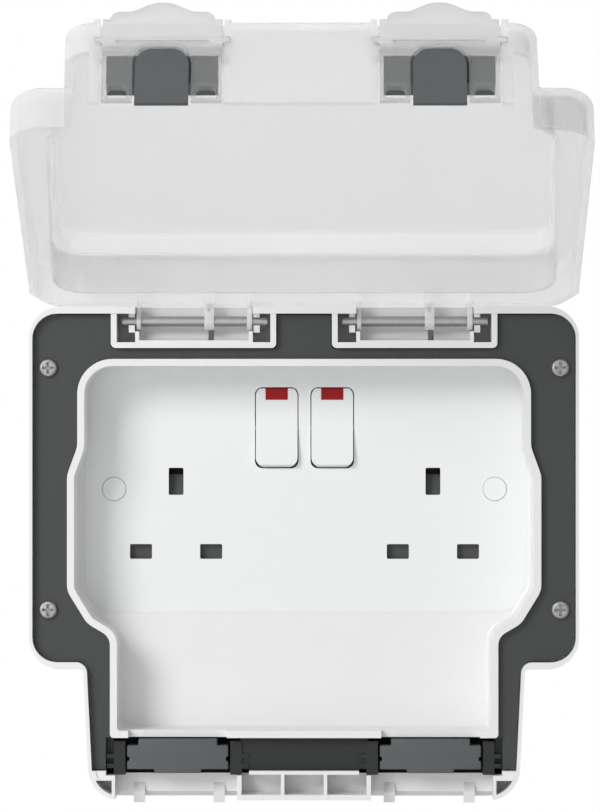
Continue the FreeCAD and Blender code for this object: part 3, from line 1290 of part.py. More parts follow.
def latch(side):
    """A clear latch plate: domed grip, U window, two half-moon windows and its trunnions."""
    cx = side * LATCH_X
    half = LATCH_WIDTH / 2
    z0 = LID_END
    tail = LID_RIM + LATCH_TAIL
    lid_front = LID_RIM - LID_DOME_FOOT
    plate = block(cx - half, cx + half, lid_front, tail, z0, z0 + LATCH_THICK)
    top = lid_front - LATCH_GRIP
    shoulder = lid_front - LATCH_GRIP * 0.45
    edge = half - LATCH_GRIP_EDGE
    rise = [(-edge, lid_front), (LATCH_GRIP_FLARE - edge, shoulder), (-LATCH_SHOULDER, shoulder - 0.5),
            (-LATCH_CROWN, top)]
    grip_pts = [V(cx + x, y, z0) for x, y in rise + [(-x, y) for x, y in reversed(rise)]]
    curve = Part.BSplineCurve()
    curve.interpolate(grip_pts)
    right = V(cx + edge, lid_front + 0.5, z0)
    left = V(cx - edge, lid_front + 0.5, z0)
    closing = Part.makePolygon([grip_pts[-1], right, left, grip_pts[0]])
    grip = Part.Face(Part.Wire([curve.toShape()] + closing.Edges)).extrude(V(0, 0, LATCH_GRIP_THICK))
    y, z = latch_axis()
    trunnions = rod_x(LATCH_PIVOT_R, y, z, cx - half - LATCH_TRUNNION, cx + half + LATCH_TRUNNION)
    u_top = LID_RIM + LATCH_U_TOP
    arch = flat_u(cx, LATCH_U_HALF + LATCH_ARCH, u_top - LATCH_ARCH, u_top + LATCH_U_R,
                  LATCH_U_R + LATCH_ARCH, z0 - LATCH_ARCH_RAISE, z0 + 0.5)
    body = fuse(plate, grip, trunnions, arch)
    body = body.cut(flat_u(cx, LATCH_U_HALF, u_top, tail + 1, LATCH_U_R, z0 - 1, z0 + LATCH_THICK + 1))
    for step in (-1, 1):
        wx = cx + step * BARB_SPACING / 2
        half_w = LATCH_WINDOW_W / 2
        y1 = LID_RIM + LATCH_WINDOW_BACK + LATCH_WINDOW_H / 2
        y0 = y1 - LATCH_WINDOW_H
        rim = flat_u(wx, half_w + LATCH_ARCH, y0 - LATCH_ARCH, y1, LATCH_MOON_R + LATCH_ARCH,
                     z0 - LATCH_ARCH_RAISE, z0 + 0.5)
        body = body.fuse(rim).cut(flat_u(wx, half_w, y0, y1, LATCH_MOON_R, z0 - 1, z0 + LATCH_THICK + 1))
    groove = block(cx - half + LATCH_GROOVE_INSET, cx + half - LATCH_GROOVE_INSET,
                   LID_RIM - LATCH_GROOVE_PLACE - LATCH_GROOVE / 2,
                   LID_RIM - LATCH_GROOVE_PLACE + LATCH_GROOVE / 2, z0 - 1, z0 + LATCH_GROOVE_DEPTH)
    return body.cut(groove).removeSplitter()


def lid_seal(side):
    """The dark seal behind a latch: a block across the chute and a tongue in the U window."""
    cx = side * LATCH_X
    wall_z = LID_END + LATCH_RECESS
    z0 = LID_END + LATCH_THICK + SEAL_CLEAR
    body = block(cx - SEAL_HALF, cx + SEAL_HALF, LID_RIM, LID_RIM + SEAL_DEEP, z0, wall_z + SEAL_RISE)
    start = LID_RIM + LATCH_U_TOP + SEAL_CLEAR
    tail = LID_RIM + SEAL_TONGUE_TAIL
    tongue = flat_u(cx, SEAL_TONGUE_HALF, start, tail, LATCH_U_R, SEAL_SKIN_Z, SEAL_SKIN_Z + SEAL_TONGUE)
    neck = flat_u(cx, SEAL_TONGUE_HALF, start, tail, LATCH_U_R, SEAL_SKIN_Z, z0 + 0.5)
    neck = neck.common(block(cx - SEAL_HALF, cx + SEAL_HALF, LID_RIM, LID_RIM + SEAL_DEEP, LID_END, wall_z))
    return fuse(body, tongue, neck)


def save(name, shape):
    """Writes one node."""
    shape.exportStep(os.path.join("parts", name + ".step"))


os.makedirs("parts", exist_ok=True)
save("back_box", back_box())
save("seal_plate", seal_plate())
save("socket_tray", socket_tray())
save("frame_screws", frame_screws())
save("faceplate", faceplate())
save("plate_screws", plate_screws())
save("screw_caps", screw_caps())
save("rear_housing", rear_housing())
save("neutral_contacts", neutral_contacts())
save("live_contacts", live_contacts())
save("earth_contacts", earth_contacts())
save("terminal_screws", terminal_screws())
save("switch_contacts", switch_contacts())
save("neon_lamps", neon_lamps())
save("pad_carrier", pad_carrier())
for label, sign in (("left", -1), ("right", 1)):
    save("rocker_" + label, rocker(sign))
    save("indicator_" + label, indicator(sign))
    save("plunger_" + label, plunger(sign))
    save("plunger_spring_" + label, plunger_spring(sign))
    save("seesaw_" + label, seesaw(sign))
    save("shutter_" + label, shutter(sign * OUTLET_X))
    save("shutter_spring_" + label, shutter_spring(sign * OUTLET_X))
    save("cable_pad_" + label, cable_pad(sign * PAD_CENTRE))
    save("latch_" + label, opened(latch(sign)))
    save("lid_seal_" + label, opened(lid_seal(sign)))
save("lid_shell", opened(lid_shell()))
save("hinge_pins", opened(hinge_pins()))
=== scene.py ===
"""Dresses the outdoor weatherproof socket in its finishes and sets its studio."""
import logging
import math
from dataclasses import dataclass, field
from enum import Enum
from typing import ClassVar

import bmesh
import bpy
from mathutils import Matrix, Vector


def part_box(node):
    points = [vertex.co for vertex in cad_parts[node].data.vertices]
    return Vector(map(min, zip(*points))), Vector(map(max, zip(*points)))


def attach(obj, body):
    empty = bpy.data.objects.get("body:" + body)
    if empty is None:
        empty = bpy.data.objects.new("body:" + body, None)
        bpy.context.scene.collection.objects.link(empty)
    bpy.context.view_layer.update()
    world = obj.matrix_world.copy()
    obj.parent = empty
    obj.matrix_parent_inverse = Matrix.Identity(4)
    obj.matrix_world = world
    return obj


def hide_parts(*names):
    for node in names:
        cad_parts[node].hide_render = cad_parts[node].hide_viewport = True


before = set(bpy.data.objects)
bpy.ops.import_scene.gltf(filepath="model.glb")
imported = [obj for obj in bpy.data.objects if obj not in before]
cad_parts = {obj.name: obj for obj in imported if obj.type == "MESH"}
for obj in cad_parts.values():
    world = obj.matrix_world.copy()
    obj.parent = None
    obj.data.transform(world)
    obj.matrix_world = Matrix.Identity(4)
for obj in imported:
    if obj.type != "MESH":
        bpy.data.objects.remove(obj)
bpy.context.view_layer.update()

log = logging.getLogger("socket")

MM = 0.001
WHITE = (1.0, 1.0, 1.0, 1.0)

Triple = tuple[float, float, float]


class Mottle(Enum):
    """How coarse the colour variation of a moulding is."""

    SOFT = 220.0
    BROAD = 60.0


@dataclass(frozen=True)
class Skin:
    """The surface of a moulding: its mottled colour, uneven gloss and fine grain."""

    mottle: Mottle = Mottle.BROAD
    mottle_depth: float = 0.01
    gloss_spread: float = 0.04
    grain_scale: float = 1500.0
    grain: float = 0.4


class ShaderKit:
    """Builds the shader node groups that several finishes share."""

    NOISE_MEAN = 0.5
    MOTTLE_DETAIL = 3.0
    GRAIN_DETAIL = 2.0
    # The drawn lines of a metal run along X, so its noise is stretched that way.
    DRAWN_LINES = (60.0, 2600.0, 2600.0)
    DULL_PATCHES = 700.0
    CLOUDS = 45.0
    # Shares of the radius between which a milky moulding goes from solid to thin.
    SOLID_UNTIL = 0.8
    THIN_FROM = 1.2
    # Leaves out the distance along X, so that what is left is the distance from the axis.
    ACROSS_AXIS = (0.0, 1.0, 1.0)

    def __init__(self) -> None:
        """Makes each group once."""
        self.moulding = self._moulding_group()
        self.brushed = self._brushed_group()
        self.milk = self._milk_group()

    @staticmethod
    def _new_group(name: str, inputs: list[tuple], outputs: list[tuple]) -> bpy.types.NodeTree:
        """Makes an empty node group with named sockets.

        Args:
            name: The group's name.
            inputs: Tuples of socket name, socket type and default.
            outputs: Tuples of socket name and socket type.

        Returns:
            The new node tree with its input and output nodes.
        """
        tree = bpy.data.node_groups.new(name, "ShaderNodeTree")
        for label, kind, default in inputs:
            socket = tree.interface.new_socket(name=label, in_out="INPUT", socket_type=kind)
            socket.default_value = default
        for label, kind in outputs:
            tree.interface.new_socket(name=label, in_out="OUTPUT", socket_type=kind)
        tree.nodes.new("NodeGroupInput").name = "in"
        tree.nodes.new("NodeGroupOutput").name = "out"
        return tree

    def _moulding_group(self) -> bpy.types.NodeTree:
        """Makes the group for moulded plastic and rubber: mottled colour, uneven gloss and fine grain.

        Returns:
            The group's node tree.
        """
        tree = self._new_group(
            "moulded_skin",
            [("Colour", "NodeSocketColor", (0.8, 0.8, 0.8, 1.0)),
             ("Roughness", "NodeSocketFloat", 0.4),
             ("Mottle Scale", "NodeSocketFloat", 200.0),
             ("Mottle", "NodeSocketFloat", 0.03),
             ("Gloss Spread", "NodeSocketFloat", 0.05),
             ("Grain Scale", "NodeSocketFloat", 3000.0),
             ("Grain", "NodeSocketFloat", 0.05)],
            [("Colour", "NodeSocketColor"), ("Roughness", "NodeSocketFloat"), ("Height", "NodeSocketFloat")])
        nodes, links = tree.nodes, tree.links
        ends = nodes["in"], nodes["out"]
        coords = nodes.new("ShaderNodeTexCoord")
        broad = nodes.new("ShaderNodeTexNoise")
        broad.inputs["Detail"].default_value = self.MOTTLE_DETAIL
        grain = nodes.new("ShaderNodeTexNoise")
        grain.inputs["Detail"].default_value = self.GRAIN_DETAIL
        links.new(coords.outputs["Object"], broad.inputs["Vector"])
        links.new(coords.outputs["Object"], grain.inputs["Vector"])
        links.new(ends[0].outputs["Mottle Scale"], broad.inputs["Scale"])
        links.new(ends[0].outputs["Grain Scale"], grain.inputs["Scale"])
        centred = self._math(tree, "SUBTRACT", broad.outputs["Fac"], self.NOISE_MEAN)
        shade = self._math(tree, "MULTIPLY", centred, ends[0].outputs["Mottle"])
        factor = self._math(tree, "ADD", shade, 1.0)
        tint = nodes.new("ShaderNodeVectorMath")
        tint.operation = "SCALE"
        links.new(ends[0].outputs["Colour"], tint.inputs[0])
        links.new(factor, tint.inputs["Scale"])
        links.new(tint.outputs["Vector"], ends[1].inputs["Colour"])
        spread = self._math(tree, "MULTIPLY", centred, ends[0].outputs["Gloss Spread"])
        rough = self._math(tree, "ADD", spread, ends[0].outputs["Roughness"])
        links.new(rough, ends[1].inputs["Roughness"])
        height = self._math(tree, "MULTIPLY", grain.outputs["Fac"], ends[0].outputs["Grain"])
        links.new(height, ends[1].inputs["Height"])
        return tree

    def _brushed_group(self) -> bpy.types.NodeTree:
        """Makes the group for plated and pressed metal: fine drawn lines and dulled patches.

        Returns:
            The group's node tree.
        """
        tree = self._new_group(
            "drawn_metal",
            [("Colour", "NodeSocketColor", (0.6, 0.6, 0.6, 1.0)),
             ("Roughness", "NodeSocketFloat", 0.3),
             ("Dulling", "NodeSocketFloat", 0.2)],
            [("Colour", "NodeSocketColor"), ("Roughness", "NodeSocketFloat"), ("Height", "NodeSocketFloat")])
        nodes, links = tree.nodes, tree.links
        ends = nodes["in"], nodes["out"]
        coords = nodes.new("ShaderNodeTexCoord")
        stretch = nodes.new("ShaderNodeMapping")
        stretch.inputs["Scale"].default_value = self.DRAWN_LINES
        lines = nodes.new("ShaderNodeTexNoise")
        lines.inputs["Scale"].default_value = 1.0
        patches = nodes.new("ShaderNodeTexNoise")
        patches.inputs["Scale"].default_value = self.DULL_PATCHES
        links.new(coords.outputs["Object"], stretch.inputs["Vector"])
        links.new(stretch.outputs["Vector"], lines.inputs["Vector"])
        links.new(coords.outputs["Object"], patches.inputs["Vector"])
        dull = self._math(tree, "MULTIPLY", patches.outputs["Fac"], ends[0].outputs["Dulling"])
        rough = self._math(tree, "ADD", dull, ends[0].outputs["Roughness"])
        keep = self._math(tree, "SUBTRACT", 1.0, dull)
        tint = nodes.new("ShaderNodeVectorMath")
        tint.operation = "SCALE"
        links.new(ends[0].outputs["Colour"], tint.inputs[0])
        links.new(keep, tint.inputs["Scale"])
        links.new(tint.outputs["Vector"], ends[1].inputs["Colour"])
        links.new(rough, ends[1].inputs["Roughness"])
        links.new(lines.outputs["Fac"], ends[1].inputs["Height"])
        return tree

    def _milk_group(self) -> bpy.types.NodeTree:
        """Makes the group for the density of a milky moulding: thin walls, solid near an axis along X.

        Returns:
            The group's node tree.
        """
        tree = self._new_group(
            "milky_density",
            [("Thin", "NodeSocketFloat", 0.2),
             ("Solid", "NodeSocketFloat", 0.9),
             ("Axis", "NodeSocketVector", (0.0, 0.0, 0.0)),
             ("Radius", "NodeSocketFloat", 0.004),
             ("Cloud", "NodeSocketFloat", 0.004)],
            [("Density", "NodeSocketFloat"), ("Thickness", "NodeSocketFloat")])
        nodes, links = tree.nodes, tree.links
        ends = nodes["in"], nodes["out"]
        coords = nodes.new("ShaderNodeTexCoord")
        away = nodes.new("ShaderNodeVectorMath")
        away.operation = "SUBTRACT"
        flat = nodes.new("ShaderNodeVectorMath")
        flat.operation = "MULTIPLY"
        flat.inputs[1].default_value = self.ACROSS_AXIS
        reach = nodes.new("ShaderNodeVectorMath")
        reach.operation = "LENGTH"
        links.new(coords.outputs["Object"], away.inputs[0])
        links.new(ends[0].outputs["Axis"], away.inputs[1])
        links.new(away.outputs["Vector"], flat.inputs[0])
        links.new(flat.outputs["Vector"], reach.inputs[0])
        near = self._math(tree, "DIVIDE", reach.outputs["Value"], ends[0].outputs["Radius"])
        fade = nodes.new("ShaderNodeMapRange")
        fade.interpolation_type = "SMOOTHSTEP"
        fade.inputs["From Min"].default_value = self.SOLID_UNTIL
        fade.inputs["From Max"].default_value = self.THIN_FROM
        fade.inputs["To Min"].default_value = 1.0
        fade.inputs["To Max"].default_value = 0.0
        links.new(near, fade.inputs["Value"])
        spread = self._math(tree, "SUBTRACT", ends[0].outputs["Solid"], ends[0].outputs["Thin"])
        gain = self._math(tree, "MULTIPLY", spread, fade.outputs["Result"])
        level = self._math(tree, "ADD", gain, ends[0].outputs["Thin"])
        cloud = nodes.new("ShaderNodeTexNoise")
        cloud.inputs["Scale"].default_value = self.CLOUDS
        links.new(coords.outputs["Object"], cloud.inputs["Vector"])
        centred = self._math(tree, "SUBTRACT", cloud.outputs["Fac"], self.NOISE_MEAN)
        drift = self._math(tree, "MULTIPLY", centred, ends[0].outputs["Cloud"])
        links.new(self._math(tree, "ADD", level, drift), ends[1].inputs["Density"])
        links.new(fade.outputs["Result"], ends[1].inputs["Thickness"])
        return tree

    @staticmethod
    def _math(tree: bpy.types.NodeTree, operation: str, first: float | bpy.types.NodeSocket,
              second: float | bpy.types.NodeSocket) -> bpy.types.NodeSocket:
        """Adds a math node.

        Args:
            tree: The node tree to add to.
            operation: The node's operation.
            first: A socket or a number.
            second: A socket or a number.

        Returns:
            The node's output socket.
        """
        node = tree.nodes.new("ShaderNodeMath")
        node.operation = operation
        for i, value in enumerate((first, second)):
            if isinstance(value, (int, float)):
                node.inputs[i].default_value = value
            else:
                tree.links.new(value, node.inputs[i])
        return node.outputs["Value"]


@dataclass(frozen=True)
class Finish:
    """What every finish has: a name, a colour, a gloss and a fine bump."""

    name: str
    colour: Triple
    roughness: float
    bump: float = 0.05
    bump_distance: float = 0.05 * MM

    def _start(self) -> tuple[bpy.types.Material, bpy.types.Node]:
        """Makes an empty material.

        Returns:
            The material and its Principled BSDF.
        """
        material = bpy.data.materials.new(self.name)
        material.use_nodes = True
        shader = material.node_tree.nodes["Principled BSDF"]
        return material, shader

    def _skin_node(self, kit: ShaderKit, material: bpy.types.Material, skin: Skin) -> bpy.types.Node:
        """Adds the shared moulding group with this finish's colour and gloss.

        Args:
            kit: The shared groups.
            material: The material being made.
            skin: How the surface varies.

        Returns:
            The group node.
        """
        group = material.node_tree.nodes.new("ShaderNodeGroup")
        group.node_tree = kit.moulding
        group.inputs["Colour"].default_value = (*self.colour, 1.0)
        group.inputs["Roughness"].default_value = self.roughness
        group.inputs["Mottle Scale"].default_value = skin.mottle.value
        group.inputs["Mottle"].default_value = skin.mottle_depth
        group.inputs["Gloss Spread"].default_value = skin.gloss_spread
        group.inputs["Grain Scale"].default_value = skin.grain_scale
        group.inputs["Grain"].default_value = skin.grain
        return group

    def _join(self, material: bpy.types.Material, shader: bpy.types.Node, group: bpy.types.Node) -> None:
        """Leads a group's colour, roughness and height into the shader.

        Args:
            material: The material being made.
            shader: Its Principled BSDF.
            group: The group node.
        """
        links = material.node_tree.links
        links.new(group.outputs["Colour"], shader.inputs["Base Color"])
        links.new(group.outputs["Roughness"], shader.inputs["Roughness"])
        bump = material.node_tree.nodes.new("ShaderNodeBump")
        bump.inputs["Strength"].default_value = self.bump
        bump.inputs["Distance"].default_value = self.bump_distance
        links.new(group.outputs["Height"], bump.inputs["Height"])
        links.new(bump.outputs["Normal"], shader.inputs["Normal"])


@dataclass(frozen=True)
class MouldedFinish(Finish):
    """Moulded plastic or rubber."""

    mottle: Mottle = Mottle.SOFT
    mottle_depth: float = 0.02
    gloss_spread: float = 0.06
    grain_scale: float = 2600.0
    grain: float = 1.0
    coat: float = 0.0
    coat_roughness: float = 0.12
    specular: float = 0.5

    def make(self, kit: ShaderKit) -> bpy.types.Material:
        """Makes the material from the shared moulding group.

        Args:
            kit: The shared groups.

        Returns:
            The material.
        """
        material, shader = self._start()
        skin = Skin(self.mottle, self.mottle_depth, self.gloss_spread, self.grain_scale, self.grain)
        self._join(material, shader, self._skin_node(kit, material, skin))
        shader.inputs["Coat Weight"].default_value = self.coat
        shader.inputs["Coat Roughness"].default_value = self.coat_roughness
        shader.inputs["Specular IOR Level"].default_value = self.specular
        return material


@dataclass(frozen=True)
class MetalFinish(Finish):
    """Plated steel or pressed brass."""

    dulling: float = 0.2

    def make(self, kit: ShaderKit) -> bpy.types.Material:
        """Makes the material from the shared metal group.

        Args:
            kit: The shared groups.

        Returns:
            The material.
        """
        material, shader = self._start()
        group = material.node_tree.nodes.new("ShaderNodeGroup")
        group.node_tree = kit.brushed
        group.inputs["Colour"].default_value = (*self.colour, 1.0)
        group.inputs["Roughness"].default_value = self.roughness
        group.inputs["Dulling"].default_value = self.dulling
        self._join(material, shader, group)
        shader.inputs["Metallic"].default_value = 1.0
        return material


@dataclass(frozen=True)
class MilkyFinish(Finish):
    """Milky clear moulding, thin in its walls and denser where it is seen along them."""

    thin: float = 0.2
    solid: float = 0.9
    axis: Triple = (0.0, -0.0511, 0.0732)
    radius: float = 4.5 * MM
    rim: float = 0.25
    facing_blend: float = 0.35
    thick_colour: Triple = (0.9, 0.9, 0.9)
    scatter: float = 0.8
    scatter_depth: float = 4.0 * MM
    specular: float = 0.2

    def make(self, kit: ShaderKit) -> bpy.types.Material:
        """Makes the material from the shared moulding and density groups.

        Args:
            kit: The shared groups.

        Returns:
            The material.
        """
        material, shader = self._start()
        nodes, links = material.node_tree.nodes, material.node_tree.links
        skin = self._skin_node(kit, material, Skin())
        self._join(material, shader, skin)
        density = nodes.new("ShaderNodeGroup")
        density.node_tree = kit.milk
        density.inputs["Thin"].default_value = self.thin
        density.inputs["Solid"].default_value = self.solid
        density.inputs["Axis"].default_value = self.axis
        density.inputs["Radius"].default_value = self.radius
        shade = nodes.new("ShaderNodeMix")
        shade.data_type = "RGBA"
        shade.inputs["A"].default_value = (*self.colour, 1.0)
        shade.inputs["B"].default_value = (*self.thick_colour, 1.0)
        links.new(density.outputs["Thickness"], shade.inputs["Factor"])
        links.new(shade.outputs["Result"], skin.inputs["Colour"])
        facing = nodes.new("ShaderNodeLayerWeight")
        facing.inputs["Blend"].default_value = self.facing_blend
        edge = nodes.new("ShaderNodeMath")
        edge.operation = "MULTIPLY"
        edge.inputs[1].default_value = self.rim
        links.new(facing.outputs["Facing"], edge.inputs[0])
        total = nodes.new("ShaderNodeMath")
        total.operation = "ADD"
        total.use_clamp = True
        links.new(edge.outputs["Value"], total.inputs[0])
        links.new(density.outputs["Density"], total.inputs[1])
        links.new(total.outputs["Value"], shader.inputs["Alpha"])
        shader.inputs["Specular IOR Level"].default_value = self.specular
        shader.inputs["Subsurface Weight"].default_value = self.scatter
        shader.inputs["Subsurface Radius"].default_value = (self.scatter_depth,) * 3
        shader.inputs["Subsurface Scale"].default_value = 1.0
        return material


@dataclass(frozen=True)
class ClearFinish(Finish):
    """Clear glass that light comes through."""

    transmission: float = 1.0
    index: float = 1.3

    def make(self, kit: ShaderKit) -> bpy.types.Material:
        """Makes the material, with its faint haze from the shared moulding group.

        Args:
            kit: The shared groups.

        Returns:
            The material.
        """
        material, shader = self._start()
        self._join(material, shader, self._skin_node(kit, material, Skin()))
        shader.inputs["Transmission Weight"].default_value = self.transmission
        shader.inputs["IOR"].default_value = self.index
        return material


@dataclass(frozen=True)
class FinishSet:
    """Every finish of the socket."""

    white: MouldedFinish = MouldedFinish("white_moulding", (0.83, 0.835, 0.83), 0.34, coat=0.15)
    face: MouldedFinish = MouldedFinish("faceplate_white", (0.86, 0.87, 0.875), 0.3, coat=0.2)
    dark: MouldedFinish = MouldedFinish("seal_plate_grey", (0.042, 0.045, 0.046), 0.5, mottle_depth=0.12,
                                        gloss_spread=0.12, bump=0.12, specular=0.38)
    carrier: MouldedFinish = MouldedFinish("pad_carrier_grey", (0.02, 0.022, 0.023), 0.6, bump=0.12,
                                           specular=0.3)
    rubber: MouldedFinish = MouldedFinish("cable_seal_rubber", (0.082, 0.088, 0.093), 0.62,
                                          mottle_depth=0.16, bump=0.2)
    # The shutters and plungers are dark grey, and this grey is partly painted shade for the deep live and
    # neutral slots.
    shutter: MouldedFinish = MouldedFinish("shutter_grey_painted_slot_shade", (0.06, 0.063, 0.065), 0.5, specular=0.35)
    lens: MouldedFinish = MouldedFinish("indicator_red", (0.32, 0.003, 0.005), 0.4, specular=0.25)
    # Where each is solid: the lid round its hinge's axis, a latch in the strip past its windows.
    clear: MilkyFinish = MilkyFinish("clear_moulding", (0.85, 0.852, 0.852), 0.36, thin=0.25, solid=0.97,
                                     rim=0.16)
    latch: MilkyFinish = MilkyFinish("clear_latch", (0.45, 0.455, 0.455), 0.22, thin=0.2, solid=0.6, rim=0.3,
                                     axis=(0.0, -0.1775, 0.1575), radius=10.7 * MM,
                                     thick_colour=(0.8, 0.805, 0.805), scatter_depth=2.0 * MM)
    lamp: ClearFinish = ClearFinish("lamp_glass", (0.9, 0.88, 0.85), 0.05)
    # The screws and the hinge pin are set darker than plated steel; the extra darkness is a painted
    # reflection of darker surroundings.
    steel: MetalFinish = MetalFinish("plated_steel_painted_dark_reflection", (0.4, 0.4, 0.385), 0.26, bump=0.1, dulling=0.5)
    pin: MetalFinish = MetalFinish("hinge_pin_painted_dark_reflection", (0.4, 0.4, 0.41), 0.34, bump=0.1)
    # The brass is dull and set much darker than dull brass; the extra darkness is painted shade for the
    # contacts deep in the slots.
    brass: MetalFinish = MetalFinish("pressed_brass_painted_slot_shade", (0.12, 0.085, 0.045), 0.38, bump=0.1)


@dataclass
class CadDress:
    """Gives every CAD node its finish."""

    kit: ShaderKit
    finishes: FinishSet
    made: dict[str, bpy.types.Material] = field(default_factory=dict)

    WEAR: ClassVar[dict[str, tuple[str, ...]]] = {
        "white": ("back_box", "socket_tray", "rear_housing"),
        "face": ("faceplate", "screw_caps", "rocker_left", "rocker_right"),
        "dark": ("seal_plate",),
        "carrier": ("pad_carrier",),
        "rubber": ("cable_pad_left", "cable_pad_right", "lid_seal_left", "lid_seal_right"),
        "shutter": ("shutter_left", "shutter_right", "plunger_left", "plunger_right"),
        "lens": ("indicator_left", "indicator_right"),
        "clear": ("lid_shell",),
        "latch": ("latch_left", "latch_right"),
        "lamp": ("neon_lamps",),
        "steel": ("frame_screws", "plate_screws", "terminal_screws", "plunger_spring_left",
                  "plunger_spring_right", "shutter_spring_left", "shutter_spring_right"),
        "pin": ("hinge_pins",),
        "brass": ("neutral_contacts", "live_contacts", "earth_contacts", "switch_contacts", "seesaw_left",
                  "seesaw_right"),
    }

    def material(self, name: str) -> bpy.types.Material:
        """Finds the material of a finish, and makes it on first use.

        Args:
            name: The finish's name in the set.

        Returns:
            Its material.
        """
        if name not in self.made:
            self.made[name] = getattr(self.finishes, name).make(self.kit)
        return self.made[name]

    def build(self) -> None:
        """Puts a finish on every CAD node."""
        for name, nodes in self.WEAR.items():
            for node in nodes:
                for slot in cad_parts[node].material_slots:
                    slot.material = self.material(name)
                log.info("%s wears %s", node, name)


@dataclass
class CableSeal:
    """The soft block that closes round a cord: a soft edge, notched corners and two slits at its foot."""

    side: str
    finish: bpy.types.Material
    shoulder: float = 12.3 * MM
    belly: float = 15.8 * MM
    nick: float = 0.7 * MM
    nick_top: float = 5.6 * MM
    nick_foot: float = 6.8 * MM
    notch: float = 2.0 * MM
    rise: float = 0.7 * MM
    slit: float = 1.2 * MM
    tab: float = 7.3 * MM
    edge: float = 0.35 * MM
    edge_steps: int = 3

    def outline(self) -> list[tuple[float, float]]:
        """Lists the corners of the block's face, seen from the front.

        Returns:
            Pairs of X and Z in metres, counter-clockwise from the foot of the tab's right side.
        """
        low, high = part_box("cable_pad_" + self.side)
        centre = (low[0] + high[0]) / 2
        foot, top = low[2], high[2] + self.rise
        right = [(self.tab, foot), (self.tab, foot + self.slit), (self.belly, foot + self.slit),
                 (self.belly, top - self.nick_foot), (self.belly - self.nick, top - self.nick_foot),
                 (self.belly - self.nick, top - self.nick_top), (self.belly, top - self.nick_top),
                 (self.belly, top - self.notch), (self.shoulder, top - self.notch), (self.shoulder, top)]
        return [(centre + x, z) for x, z in right] + [(centre - x, z) for x, z in reversed(right)]

    def build(self) -> bpy.types.Object:
        """Makes the block in place of its CAD solid.

        Returns:
            The block, which rides on the box.
        """
        low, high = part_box("cable_pad_" + self.side)
        mesh = bmesh.new()
        face = mesh.faces.new([mesh.verts.new((x, low[1], z)) for x, z in self.outline()])
        back = bmesh.ops.extrude_face_region(mesh, geom=[face])["geom"]
        moved = [v for v in back if isinstance(v, bmesh.types.BMVert)]
        bmesh.ops.translate(mesh, verts=moved, vec=(0.0, high[1] - low[1], 0.0))
        bmesh.ops.recalc_face_normals(mesh, faces=mesh.faces)
        bmesh.ops.bevel(mesh, geom=list(mesh.edges), affect="EDGES", offset=self.edge, offset_type="OFFSET",
                        segments=self.edge_steps, profile=0.5, material=-1, clamp_overlap=True)
        data = bpy.data.meshes.new("cable_seal_" + self.side)
        for polygon in mesh.faces:
            polygon.smooth = True
        mesh.to_mesh(data)
        mesh.free()
        data.materials.append(self.finish)
        seal = bpy.data.objects.new("cable_seal_" + self.side, data)
        bpy.context.scene.collection.objects.link(seal)
        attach(seal, "box")
        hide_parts("cable_pad_" + self.side)
        log.info("%s stands for cable_pad_%s", seal.name, self.side)
        return seal


@dataclass(frozen=True)
class Lamp:
    """One square area lamp."""

    name: str
    place: Triple
    size: float
    power: float
    aim: Triple = (0.0, -0.05, 0.03)

    def hang(self) -> None:
        """Puts the lamp in the scene, facing what it aims at."""
        light = bpy.data.lights.new(self.name, "AREA")
        light.shape = "SQUARE"
        light.size = self.size
        light.energy = self.power
        lamp = bpy.data.objects.new(self.name, light)
        lamp.location = self.place
        aim = Vector(self.aim) - Vector(self.place)
        lamp.rotation_euler = aim.to_track_quat("-Z", "Y").to_euler()
        bpy.context.scene.collection.objects.link(lamp)


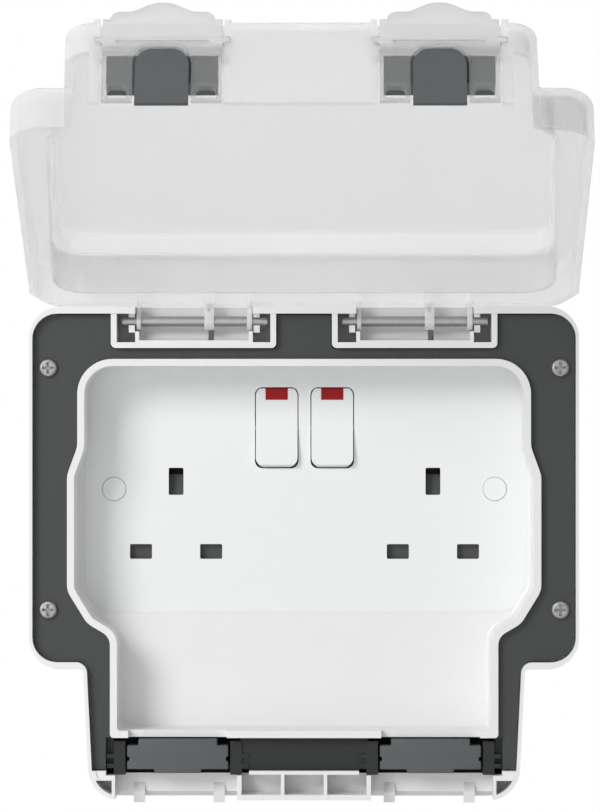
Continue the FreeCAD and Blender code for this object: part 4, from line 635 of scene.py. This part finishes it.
@dataclass
class Studio:
    """The floor, world, lamps and camera."""

    floor_z: float = -0.95
    stage_size: float = 4.0
    floor_colour: Triple = (0.88, 0.88, 0.88)
    floor_roughness: float = 0.95
    floor_glow: float = 0.35
    shade_light: float = 0.4
    # The lens is given in pixels of the photograph's frame, whose height is its longer side.
    focal_pixels: float = 4370.0
    frame_height: float = 812.0
    sensor: float = 36.0
    camera_x: float = 0.0097
    camera_z: float = 0.0467
    rim_distance: float = 1.3627
    rim_y: float = -0.058
    level_degrees: float = 90.0
    yaw_degrees: float = 0.46
    view_end: float = 20.0
    lamps: tuple[Lamp, ...] = (
        Lamp("key", place=(-0.84, -1.25, 0.64), size=0.6, power=13.4),
        Lamp("fill", place=(-0.5, -1.35, -0.44), size=0.9, power=3.3),
    )

    def build(self) -> None:
        """Sets every part of the studio."""
        self._floor()
        self._world()
        for lamp in self.lamps:
            lamp.hang()
        self._camera()

    @staticmethod
    def _direct_rays(tree: bpy.types.NodeTree, low: float, high: float) -> bpy.types.NodeSocket:
        """Adds a value that is high where the camera or a reflection looks, and low for other light.

        Args:
            tree: The node tree to add to.
            low: The value for scattered light.
            high: The value for camera, glossy and transmission rays.

        Returns:
            The socket that carries the value.
        """
        paths = tree.nodes.new("ShaderNodeLightPath")
        seen = tree.nodes.new("ShaderNodeMath")
        seen.operation = "MAXIMUM"
        tree.links.new(paths.outputs["Is Camera Ray"], seen.inputs[0])
        tree.links.new(paths.outputs["Is Transmission Ray"], seen.inputs[1])
        most = tree.nodes.new("ShaderNodeMath")
        most.operation = "MAXIMUM"
        tree.links.new(seen.outputs[0], most.inputs[0])
        tree.links.new(paths.outputs["Is Glossy Ray"], most.inputs[1])
        level = tree.nodes.new("ShaderNodeMapRange")
        level.inputs["To Min"].default_value = low
        level.inputs["To Max"].default_value = high
        tree.links.new(most.outputs[0], level.inputs["Value"])
        return level.outputs["Result"]

    def _floor(self) -> None:
        """Makes the plain pale floor, which isn't seen from underneath."""
        place = Matrix.Translation((0.0, 0.0, self.floor_z))
        mesh = bmesh.new()
        bmesh.ops.create_grid(mesh, x_segments=1, y_segments=1, size=self.stage_size, matrix=place)
        data = bpy.data.meshes.new("floor")
        mesh.to_mesh(data)
        mesh.free()
        sheet = bpy.data.objects.new("floor", data)
        bpy.context.scene.collection.objects.link(sheet)
        material = bpy.data.materials.new("stage_floor")
        material.use_nodes = True
        shader = material.node_tree.nodes["Principled BSDF"]
        # The floor is clear from underneath, so that it never hides the socket.
        side = material.node_tree.nodes.new("ShaderNodeNewGeometry")
        shown = material.node_tree.nodes.new("ShaderNodeMath")
        shown.operation = "SUBTRACT"
        shown.inputs[0].default_value = 1.0
        material.node_tree.links.new(side.outputs["Backfacing"], shown.inputs[1])
        material.node_tree.links.new(shown.outputs["Value"], shader.inputs["Alpha"])
        shader.inputs["Base Color"].default_value = (*self.floor_colour, 1.0)
        shader.inputs["Roughness"].default_value = self.floor_roughness
        shader.inputs["Emission Color"].default_value = WHITE
        glowing = self._direct_rays(material.node_tree, 0.0, self.floor_glow)
        material.node_tree.links.new(glowing, shader.inputs["Emission Strength"])
        data.materials.append(material)

    def _world(self) -> None:
        """Makes an even world that shows as white and lights at a plain level."""
        world = bpy.data.worlds.new("studio")
        bpy.context.scene.world = world
        world.use_nodes = True
        tree = world.node_tree
        back = tree.nodes["Background"]
        back.inputs["Color"].default_value = WHITE
        tree.links.new(self._direct_rays(tree, self.shade_light, 1.0), back.inputs["Strength"])

    def _camera(self) -> None:
        """Sets the camera nearly square to the face, as the photograph was taken."""
        data = bpy.data.cameras.new("camera")
        data.sensor_width = self.sensor
        data.lens = self.focal_pixels * self.sensor / self.frame_height
        data.clip_end = self.view_end
        camera = bpy.data.objects.new("camera", data)
        camera.location = (self.camera_x, self.rim_y - self.rim_distance, self.camera_z)
        camera.rotation_euler = (math.radians(self.level_degrees), 0.0, math.radians(self.yaw_degrees))
        bpy.context.scene.collection.objects.link(camera)
        bpy.context.scene.camera = camera


def main() -> None:
    """Builds the dressed socket and its studio."""
    logging.basicConfig(level=logging.INFO, format="%(message)s")
    bpy.context.scene.view_settings.view_transform = "Standard"
    dress = CadDress(ShaderKit(), FinishSet())
    dress.build()
    for side in ("left", "right"):
        CableSeal(side, dress.material("rubber")).build()
    Studio().build()


if __name__ == "__main__":
    main()
